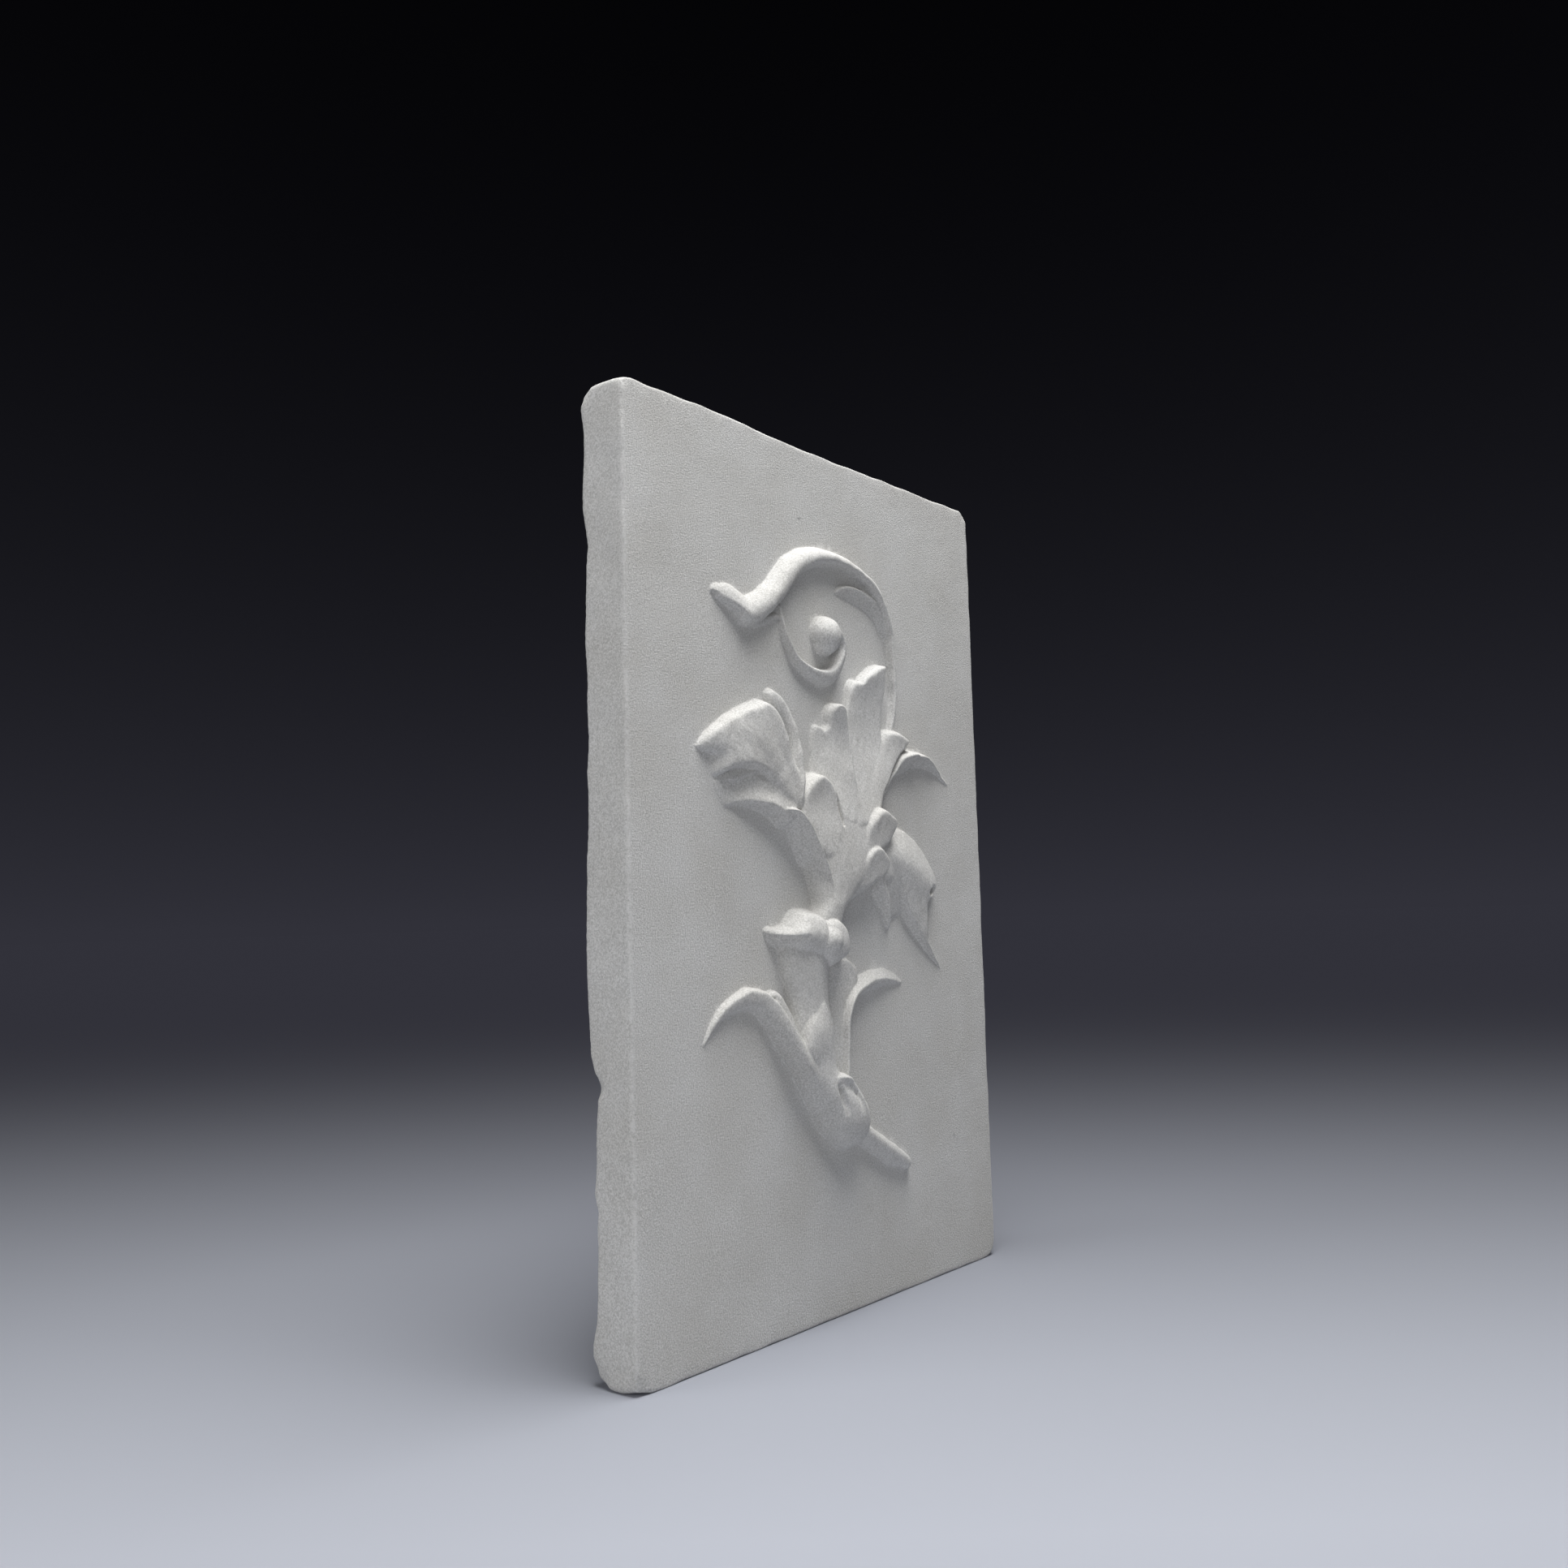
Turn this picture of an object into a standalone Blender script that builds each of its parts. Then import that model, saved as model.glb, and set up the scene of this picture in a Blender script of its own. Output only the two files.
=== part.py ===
"""Plaster cast of an acanthus ornament, modelled in relief on a plain upright slab.

Metres, +Z up. The slab stands on its underside, its face looks along -Y and the
origin is the middle of the underside. The casting is one piece.
"""
import bpy
import bmesh
import numpy as np

# Driving dimensions, in metres. The slab comes to 0.600 x 0.400 x 0.040.
ORNAMENT_HEIGHT = 0.447    # end of the stalk to the top of the scroll
ORNAMENT_WIDTH = 0.292     # tip of the left leaf to the tip of the right leaf
RELIEF_HEIGHT = 0.022      # how far the collar's knob, the highest point, stands out
HEAD_MARGIN = 0.070        # bare ground above the scroll
FOOT_MARGIN = 0.083        # bare ground below the stalk
LEFT_MARGIN = 0.058        # bare ground left of the left leaf
RIGHT_MARGIN = 0.050       # bare ground right of the right leaf
SLAB_THICKNESS = 0.040
ARRIS = 0.003              # rounding of the edges between face and sides
BACK_ARRIS = 0.0045        # rounding of the edges between back and sides
LEFT_CORNER = 0.004        # rounding of the slab's left corners, seen from the front
RIGHT_CORNER = 0.012       # rounding of its right corners
WANE_DEPTH = 0.005         # how much the lower back left edge is worn away
WANE_LENGTH = 0.165
CHIP_DEPTH = 0.004         # the chip at the top of the worn stretch, deeper still
CHIP_LENGTH = 0.030

# How finely the face is divided before it is simplified, in metres.
FINE_STEP = 0.0021
COARSE_STEP = 0.014
KEPT_SHARE = 0.108         # share of the triangles that the simplified casting keeps

SLAB_HEIGHT = FOOT_MARGIN + ORNAMENT_HEIGHT + HEAD_MARGIN
SLAB_WIDTH = LEFT_MARGIN + ORNAMENT_WIDTH + RIGHT_MARGIN

# The ornament is drawn in its own units, in which it is this tall, this wide and
# this high. Its rows read across from DRAWN_LEFT and up from DRAWN_FOOT.
DRAWN_HEIGHT = 447.0
DRAWN_WIDTH = 292.0
DRAWN_RELIEF = 22.0
DRAWN_LEFT = -142.0
DRAWN_FOOT = 83.0

# The rows were read from one oblique view, in which a form that stands out looks
# moved away from this eye. The eye is given in the same units: to the left, up
# from the foot of the slab and out from its face.
EYE_LEFT = 780.0
EYE_UP = 271.0
EYE_OUT = 579.0

GROUND = -40.0             # below the slab's face, where a form takes no part
BLEND = 1.0                # radius of the fillet where two forms meet
WALL_SLOPE = 2.5           # how steeply a form's wall falls below its foot
NARROWEST = 0.3            # least half width of a form, as a share of its height
CUT_FLOOR = 0.3            # height above the face at which a cut stops

# Cross-sections of a form, as (power, root, share kept at the edge).
ROUND = (2.0, 0.6, 0.0)
FULL = (2.4, 0.55, 0.0)
SOFT = (2.0, 0.7, 0.0)


def slope(share):
    """A cross-section that falls almost evenly to a share of the crest's height."""
    return (1.1, 1.0, share)


def rounded(share, section):
    """A cross-section's height, as a share of its crest's, at a share of its half width."""
    power, root, edge = section
    return edge + (1 - edge) * (1 - np.clip(share, 0.0, 1.0)**power)**root


def spline(rows, steps=6):
    """Rows of numbers joined by a Catmull-Rom curve, with steps points to a row."""
    knots = np.array(rows, dtype=float)
    ends = (2 * knots[:1] - knots[1:2], 2 * knots[-1:] - knots[-2:-1])
    knots = np.vstack([ends[0], knots, ends[1]])
    u = np.linspace(0.0, 1.0, steps, endpoint=False)[:, None]
    spans = []
    for before, start, end, after in zip(knots, knots[1:], knots[2:], knots[3:]):
        bend = 2 * before - 5 * start + 4 * end - after
        twist = 3 * start - before - 3 * end + after
        spans.append(start + 0.5 * ((end - before) * u + bend * u**2 + twist * u**3))
    return np.vstack(spans + [knots[-2:-1]])


def join(ground, form):
    """The higher of two surfaces, with a small fillet between them."""
    share = np.clip(0.5 + 0.5 * (form - ground) / BLEND, 0.0, 1.0)
    return ground + (form - ground) * share + BLEND * share * (1.0 - share)


def nearest_on_path(x, z, path):
    """For each point: distance to the path, whether it lies left, and the path's values."""
    best = np.full(x.shape, np.inf)
    along = np.zeros(x.shape)
    turn = np.zeros(x.shape)
    for index in range(len(path) - 1):
        start = path[index, :2]
        step = path[index + 1, :2] - start
        share = ((x - start[0]) * step[0] + (z - start[1]) * step[1]) / (step @ step)
        share = np.clip(share, 0.0, 1.0)
        away_x = x - start[0] - share * step[0]
        away_z = z - start[1] - share * step[1]
        square = away_x**2 + away_z**2
        nearer = square < best
        best = np.where(nearer, square, best)
        along = np.where(nearer, index + share, along)
        turn = np.where(nearer, step[0] * away_z - step[1] * away_x, turn)
    places = np.arange(len(path))
    values = [np.interp(along, places, column) for column in path.T[2:]]
    return np.sqrt(best), turn > 0, values


def around(x, z, path, margin=8.0):
    """Which points lie near enough to the path for its form to matter there."""
    reach = path[:, 2:4].max() + margin
    inside_x = (x > path[:, 0].min() - reach) & (x < path[:, 0].max() + reach)
    inside_z = (z > path[:, 1].min() - reach) & (z < path[:, 1].max() + reach)
    return inside_x & inside_z


def eye_shift(across, up):
    """How far one unit of height moves a form away from the eye, across and up."""
    return np.array([(across + EYE_LEFT) / EYE_OUT, (up - EYE_UP) / EYE_OUT])


def true_crest(rows):
    """Rows (across, up, height, left width, right width) as seen, put where they are.

    The crest moves back toward the eye by its height. The side toward the eye looks
    wider by as much, so its true width is less by that.
    """
    rows = np.array(rows, dtype=float)
    heading = np.gradient(rows[:, :2], axis=0)
    heading /= np.linalg.norm(heading, axis=1, keepdims=True)
    shift = eye_shift(rows[:, 0], rows[:, 1]).T
    height = rows[:, 2]
    to_left = shift[:, 1] * heading[:, 0] - shift[:, 0] * heading[:, 1]
    least = NARROWEST * height + 0.5
    left = rows[:, 3] + height * np.minimum(to_left, 0.0)
    left = np.maximum(left, np.minimum(rows[:, 3], least))
    right = rows[:, 4] + height * np.minimum(-to_left, 0.0)
    right = np.maximum(right, np.minimum(rows[:, 4], least))
    place = rows[:, :2] - shift * rows[:, 2:3]
    return np.column_stack([place, left, right, height])


def half_width(near, far, height, shift):
    """Half the true width of a rounded form seen from its near foot to its far limb."""
    seen = np.hypot(*(far - near))
    lean = shift @ (far - near) / seen
    return max((seen**2 - (lean * height)**2) / (2 * seen), NARROWEST * height)


def ridge(x, z, rows, left=ROUND, right=ROUND):
    """A form along a crest, with its own cross-section on either side."""
    path = spline(true_crest(rows))
    out = np.full(x.shape, GROUND)
    near = around(x, z, path)
    distance, is_left, (wide_left, wide_right, height) = nearest_on_path(x[near], z[near], path)
    width = np.where(is_left, wide_left, wide_right)
    share = distance / width
    crown = np.where(is_left, rounded(share, left), rounded(share, right))
    out[near] = height * crown - WALL_SLOPE * np.maximum(distance - width, 0.0)
    return out


def roll(x, z, rows):
    """A rounded form. Rows: across and up of its near foot and far limb, and its height."""
    path = []
    for near_x, near_z, far_x, far_z, height in rows:
        near = np.array([near_x, near_z])
        far = np.array([far_x, far_z])
        middle = (near + far) / 2
        half = half_width(near, far, height, eye_shift(*middle))
        centre = near + (far - near) / np.hypot(*(far - near)) * half
        path.append((*centre, half, half, height))
    path = spline(path)
    out = np.full(x.shape, GROUND)
    close = around(x, z, path)
    distance, _, (width, _, height) = nearest_on_path(x[close], z[close], path)
    outside = np.maximum(distance - width, 0.0)
    out[close] = height * rounded(distance / width, FULL) - WALL_SLOPE * outside
    return out


def trunk(x, z, rows, section):
    """An upright rounded form. Rows: up, near foot, far limb and height, from the bottom."""
    columns = []
    for up, near_x, far_x, height in rows:
        near = np.array([near_x, up])
        far = np.array([far_x, up])
        half = half_width(near, far, height, eye_shift((near_x + far_x) / 2, up))
        columns.append((up, near_x + half, half, height))
    levels = spline(columns)
    ups = levels[:, 0]
    within = np.clip(z, ups[0], ups[-1])
    centre, width, height = [np.interp(within, ups, column) for column in levels.T[1:]]
    distance = np.abs(x - centre)
    outside = np.maximum(distance - width, 0.0) + np.abs(z - within)
    return height * rounded(distance / width, section) - WALL_SLOPE * outside


def dome(x, z, across, up, half_across, half_up, height):
    """Half an ellipsoid standing on the face."""
    square = ((x - across) / half_across)**2 + ((z - up) / half_up)**2
    return np.where(square < 1.0, height * np.sqrt(np.maximum(1.0 - square, 0.0)), GROUND)


def through(x, z, rows):
    """Height of the smoothest surface through rows (across, up, height): a thin plate spline.

    It is a plane plus, for each row, a weight times r squared log r at a distance r from
    it. The weights are those that meet every row's height.
    """
    rows = np.array(rows, dtype=float)

    def bend(across, up):
        square = (across[..., None] - rows[:, 0])**2 + (up[..., None] - rows[:, 1])**2
        return square * np.log(np.maximum(square, 1e-9))

    count = len(rows)
    plane = np.column_stack([np.ones(count), rows[:, :2]])
    system = np.zeros((count + 3, count + 3))
    system[:count, :count] = bend(rows[:, 0], rows[:, 1])
    system[:count, count:] = plane
    system[count:, :count] = plane.T
    weights = np.linalg.solve(system, np.append(rows[:, 2], np.zeros(3)))
    flat = weights[count] + weights[count + 1] * x + weights[count + 2] * z
    return bend(x, z) @ weights[:count] + flat


def encloses(x, z, path):
    """Whether the closed path runs round each point: the edges to its right are odd in number."""
    inside = np.zeros(x.shape, dtype=bool)
    for start, end in zip(path[:-1], path[1:]):
        if start[1] != end[1]:
            across = start[0] + (end[0] - start[0]) * (z - start[1]) / (end[1] - start[1])
            inside ^= ((start[1] > z) != (end[1] > z)) & (x < across)
    return inside


def patch(x, z, edge, tops):
    """A form with an edge all round and a top that runs through given heights, both as seen.

    Edge rows: across, up, how steeply the wall falls there and how far it is rounded.
    """
    edge = np.array(edge + edge[:1], dtype=float)
    tops = np.array(tops, dtype=float)
    height = through(edge[:, 0], edge[:, 1], tops)
    edge[:, :2] -= (eye_shift(edge[:, 0], edge[:, 1]) * height).T
    tops[:, :2] -= (eye_shift(tops[:, 0], tops[:, 1]) * tops[:, 2]).T
    path = spline(edge, steps=5)
    out = np.full(x.shape, GROUND)
    near = around(x, z, path, margin=12.0)
    distance, _, (fall, radius) = nearest_on_path(x[near], z[near], path)
    distance = np.where(encloses(x[near], z[near], path), -distance, distance)
    drop = fall * radius * np.logaddexp(0.0, distance / radius)
    out[near] = through(x[near], z[near], tops) - drop
    return out


def sink(surface, x, z, level, rows):
    """Cuts a groove. Rows: across, up, depth and half width, seen at the given level."""
    rows = np.array(rows, dtype=float)
    place = rows[:, :2] - (eye_shift(rows[:, 0], rows[:, 1]) * level).T
    path = spline(np.column_stack([place, rows[:, 3], rows[:, 3], rows[:, 2]]))
    distance, _, (width, _, depth) = nearest_on_path(x, z, path)
    cut = depth * (1 - np.clip(distance / width, 0.0, 1.0)**2)
    return surface - np.clip(cut, 0.0, np.maximum(surface - CUT_FLOOR, 0.0))


def scroll(x, z):
    """The wave-topped volute, the crescent inside it, its inner lip, and the ball in that."""
    crescent = patch(x, z, [(12, 500, 3, 0.5), (20, 505, 5, 0.5), (31, 508, 5, 0.5), (46, 507.5, 4, 0.5),
                            (60, 505, 2, 1), (70, 500, 2, 1), (78, 489, 2, 1), (80, 478, 2, 1),
                            (75.5, 471, 1.5, 0.6), (68.5, 479, 1.5, 0.6), (61, 486.5, 1.5, 0.6),
                            (50, 491.5, 1.5, 0.6), (38, 495, 1.5, 0.6), (22, 497, 1.5, 0.6)],
                     [(13, 500, 1), (22, 504, 3), (33, 507, 4.4), (48, 506.5, 5.4), (24, 498, 1),
                      (38, 496, 1.2), (51, 492.5, 1.4), (62, 487.5, 1.5), (69, 480.5, 1.6),
                      (76, 472, 1.8), (62, 502, 5.6), (74, 490, 5.2), (80, 480, 4.6)])
    band = ridge(x, z, [(79, 400, 3, 8, 5), (85, 422, 5, 7, 4), (87.5, 444, 6.4, 4, 4),
                        (87, 464, 7.2, 3.2, 4), (84.5, 486, 8.4, 4, 5), (68, 511, 9, 6, 6),
                        (38, 523, 9, 7, 7), (4, 524.5, 9, 7.5, 8), (-26, 513, 9.6, 8, 13.5),
                        (-52, 487, 10, 8, 15.5), (-76, 471.5, 9, 8, 13.5), (-89, 473, 7.4, 8, 12.5),
                        (-99, 476.5, 5.6, 7.5, 11.5), (-107, 478, 4.2, 6, 9.5),
                        (-112, 478.5, 3.2, 4.5, 7.5)],
                 FULL, (2.0, 0.8, 0.0))
    curl = ridge(x, z, [(-50, 480, 3, 1.5, 3), (-45, 465, 4.5, 1.5, 6), (-31, 447.5, 6, 2, 9.5),
                        (-10, 440.5, 7, 3, 10), (8, 442, 8, 3, 10), (20, 452, 9, 5, 7),
                        (24, 464, 10, 8, 5), (17, 474, 11, 6, 4)], ROUND, (2.2, 0.65, 0.0))
    ball = dome(x, z, -4.5, 465.5, 14, 14.5, 13.5)
    under = ridge(x, z, [(-96, 463.5, 1, 2, 2), (-78, 464, 2, 3, 3), (-54, 473, 3, 3, 4)])
    surface = crescent
    for form in (band, curl, ball, under):
        surface = join(surface, form)
    return surface


def left_leaf(x, z):
    """The big leaf at the left: a swelling upper half with a lit rim, a slit, a lower half."""
    behind = patch(x, z, [(-65, 418.5, 2, 1), (-59, 420.5, 2, 1), (-51, 417, 2, 1),
                          (-43.5, 411, 2, 1), (-38, 404, 2, 1), (-33, 396, 2, 1), (-29.5, 386, 2, 1),
                          (-26.5, 374, 2, 1), (-26, 360, 2, 1), (-34, 350, 2, 1), (-44, 390, 2, 1),
                          (-53, 402, 2, 1), (-64, 411, 2, 1)],
                   [(-64, 417.5, 4.6), (-57, 418, 6), (-45, 410.5, 7.8), (-36, 398, 9.8),
                    (-30, 380, 12), (-27, 362, 14), (-58, 411.5, 5.6), (-46, 402.5, 6.8),
                    (-39, 389, 8.4), (-34, 373, 10.6)])
    rim = [(-139, 377, 1), (-120, 388, 6), (-100, 398, 8.4), (-85, 404.5, 9.6), (-68, 409.5, 10.8),
           (-59, 408, 11.2), (-52, 403, 11.6), (-47, 395.5, 12), (-43, 387.5, 12.4), (-36, 370, 12.5)]
    valley = [(-84, 399, 9.8), (-73, 400.5, 10.8), (-64, 397.5, 11), (-57.5, 391, 11),
              (-53.5, 382, 10.8), (-49, 372, 10.6), (-44, 361, 11)]
    fold = [(-104, 388, 8.6), (-90, 392, 10.2), (-77, 390, 11.1), (-68, 386, 11.3),
            (-62, 379.5, 11.4), (-56.5, 371.5, 11.2), (-50, 361, 11.2)]
    hollow = [(-88, 384, 10.4), (-76, 380, 10.6), (-67, 373.5, 10.4), (-59, 364, 10.2), (-50, 352, 10.6)]
    lid = [(-122, 362, 2), (-110, 368, 6.6), (-98, 372, 9.6), (-88, 373.5, 10.9), (-77, 371.5, 10.7),
           (-67, 365.5, 9.8), (-57, 357, 9.8), (-120, 370, 2.6), (-129, 377, 3.4), (-116, 378, 6)]
    upper = patch(x, z, [(-139, 377, 1.8, 0.6), (-128, 384, 2.4, 0.8), (-114, 392, 2.6, 0.8),
                         (-100, 399.5, 2.6, 0.8), (-88, 404.6, 2.6, 0.8), (-76, 408.5, 2.6, 0.8),
                         (-66, 411.3, 2.6, 0.8), (-58.5, 409.5, 2.2, 1), (-52, 404.5, 1.8, 1.2),
                         (-47, 397.5, 1.8, 1.2), (-43, 389, 1.6, 1.5), (-37.5, 374, 1.6, 1.5),
                         (-30, 360, 1.6, 1), (-30, 346, 1, 1), (-44, 349, 1, 1), (-56, 357.5, 1, 1),
                         (-66, 364.5, 1.8, 1), (-75, 368, 3.6, 0.8), (-86, 369, 4.4, 0.8),
                         (-98, 367.4, 4.2, 0.8), (-110, 363.8, 3, 0.8), (-122, 361, 1, 1),
                         (-123, 367, 0.6, 1), (-119, 373, 1.4, 0.8), (-125, 375.2, 2.6, 0.6),
                         (-134, 376, 2, 0.6)],
                  rim + valley + fold + hollow + lid)
    tongue = patch(x, z, [(-109, 358.5, 1, 1), (-102, 358, 1.8, 0.6), (-94, 360.3, 2, 0.6),
                          (-84, 363.3, 2, 0.6), (-74, 366.5, 1.6, 0.6), (-80, 371, 1, 1),
                          (-95, 370, 1, 1), (-108, 364, 1, 1)],
                   [(-107, 361, 2.8), (-100, 360.5, 3.8), (-92, 362, 4.8), (-82, 365, 5.8),
                    (-96, 367, 2.8), (-84, 369, 4.2)])
    crest = [(-113, 341, 1.2), (-100, 344.5, 3.4), (-88, 346.2, 6), (-76, 346.7, 7.8),
             (-64, 345.6, 9.4), (-53, 342.2, 10.8), (-40, 336, 11.6)]
    trough = [(-100, 352, 2.4), (-86, 354, 4.4), (-74, 354, 5.9), (-62, 352.5, 7.4), (-50, 347, 9.6)]
    below_slit = [(-121, 355, 1), (-111, 356, 1.8), (-100, 356, 2.3), (-90, 358.5, 4), (-80, 361, 5.5),
                  (-70, 359, 6.8), (-58, 354, 8.6), (-42, 345, 10.6)]
    lower = patch(x, z, [(-113, 340.8, 1.5, 0.6), (-100, 343.2, 2.5, 0.6), (-88, 344.4, 2.5, 0.8),
                         (-76, 344.6, 2.5, 0.8), (-64, 343.2, 2.5, 0.8), (-54, 340.6, 2.5, 0.8),
                         (-45, 336, 2, 1), (-40, 336, 2, 1), (-34, 345, 2, 1),
                         (-32, 350, 1, 1), (-50, 355, 0.6, 2), (-68, 360, 0.6, 2), (-88, 364, 1, 1),
                         (-105, 362, 1, 1), (-118, 358.5, 0.6, 1), (-122, 354, 0.5, 1),
                         (-118, 346, 0.7, 1)],
                  crest + trough + below_slit)
    surface = join(behind, upper)
    for form in (tongue, lower):
        surface = join(surface, form)
    return surface


def right_leaves(x, z):
    """The two lapped blades that spring to the right, and the big leaf that droops."""
    far_blade = patch(x, z, [(110, 389, 3.5, 0.5), (120, 390.4, 3.5, 0.5), (130, 389.2, 3.5, 0.5),
                             (138, 385.4, 3.5, 0.5), (144, 380, 3, 0.5), (149.5, 374, 2.5, 0.5),
                             (155, 368.5, 2, 0.4), (148, 370.5, 1.5, 0.5), (140, 374.5, 1.5, 0.5),
                             (130, 378, 1.5, 0.5), (118, 380, 1.5, 0.5), (106, 380.5, 1.5, 0.5)],
                      [(112, 389, 8), (121, 390, 8), (131, 388.4, 7.4), (139, 384.2, 5.8),
                       (145, 378.6, 3.8), (150, 373.2, 2), (154.5, 368.9, 0.7), (120, 384, 5),
                       (132, 381.6, 3.6), (143, 375.5, 1.5), (106, 381, 2.6), (118, 380.5, 1.2),
                       (131, 378.4, 0.8), (147, 370.8, 0.4)])
    near_blade = patch(x, z, [(66, 356, 3.5, 0.5), (74, 365.5, 3.5, 0.5), (83, 375, 3.5, 0.5),
                              (91, 382, 3.5, 0.5), (99, 387.2, 3.5, 0.5), (108, 389.6, 3.5, 0.5),
                              (118.5, 390.4, 3.5, 0.4), (117, 387, 4, 0.4), (110, 384.5, 3, 0.5),
                              (103, 379, 1.5, 0.5), (92, 376, 1.5, 0.5), (80, 370, 1.5, 0.5),
                              (70, 359, 1.5, 0.5)],
                       [(66, 356, 5.6), (74, 365, 6), (83, 374.5, 6.6), (91, 381.5, 7.8), (99, 386.6, 9.4),
                        (108, 389.2, 10), (118, 390.2, 10), (80, 370.5, 4), (90, 376.5, 4.6),
                        (100, 381, 5.4), (110, 385.6, 7.6), (104, 379, 2.4), (92, 375.5, 2)])
    small_lobe = roll(x, z, [(36, 296, 76, 306, 10), (44, 290, 64, 296, 9), (54, 278, 68, 283, 8),
                             (60, 266, 68, 270, 5.5), (63, 260, 67, 263, 2)])
    web = patch(x, z, [(56, 300, 1, 1), (58, 284, 1.5, 1), (63, 272, 2, 1), (69, 265, 2, 1),
                       (76, 266, 1.5, 1), (84, 270, 1.5, 1), (90, 280, 1, 1), (90, 296, 1, 1)],
                [(60, 298, 7.6), (74, 296, 8), (88, 294, 8.4), (62, 280, 4.8), (74, 278, 4),
                 (86, 280, 4.4), (68, 267, 2), (80, 268, 1.4)])
    droop = patch(x, z, [(66, 330, 2, 1), (80, 331.5, 2, 1), (92, 330.5, 2, 1), (103, 326, 2, 1),
                         (112.5, 319.5, 2, 1), (122, 311, 2, 1), (130, 301.5, 2, 1),
                         (135.5, 291, 2.5, 0.8), (131, 283, 3, 0.8), (123.5, 278, 3, 0.8),
                         (121, 266, 3, 0.8), (121, 254, 3, 0.8), (123.5, 246, 3, 0.8),
                         (129, 237, 2.5, 0.6), (135.5, 227, 2, 0.5), (129, 233, 2.5, 0.6),
                         (120, 242, 2.5, 0.8), (111, 251, 2.5, 0.8), (103, 260, 2.5, 0.8),
                         (96, 268, 3, 0.8), (91, 277, 3.5, 0.8), (87, 286, 3.5, 0.8),
                         (82, 293, 2.5, 1), (74, 298, 1.5, 1), (64, 304, 1, 1), (60, 318, 1, 1)],
                  [(68, 328.5, 6), (80, 330, 5.4), (92, 329, 5), (103, 324.5, 4.6), (112.5, 318, 4.4),
                   (122, 309.5, 4.4), (131, 298.5, 5), (72, 312, 10), (84, 310, 11.2),
                   (96, 305.5, 11.8), (108, 300, 11.4), (119, 294, 10.2), (128, 289.5, 8.6),
                   (75, 299, 8.4), (86, 294, 9.2), (97, 290, 9.6), (109, 284, 9),
                   (119, 278, 7.6), (92, 277, 7.4), (105, 271, 7.2), (117, 262, 6.2),
                   (104, 260, 5.6), (117, 248, 4.4), (128, 236, 2.6), (135, 227.5, 1.2)])
    surface = far_blade
    for form in (near_blade, small_lobe, web, droop):
        surface = join(surface, form)
    return sink(surface, x, z, 6, [(123, 284.5, 4, 2.6), (128, 287, 7, 3.6)])


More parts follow.
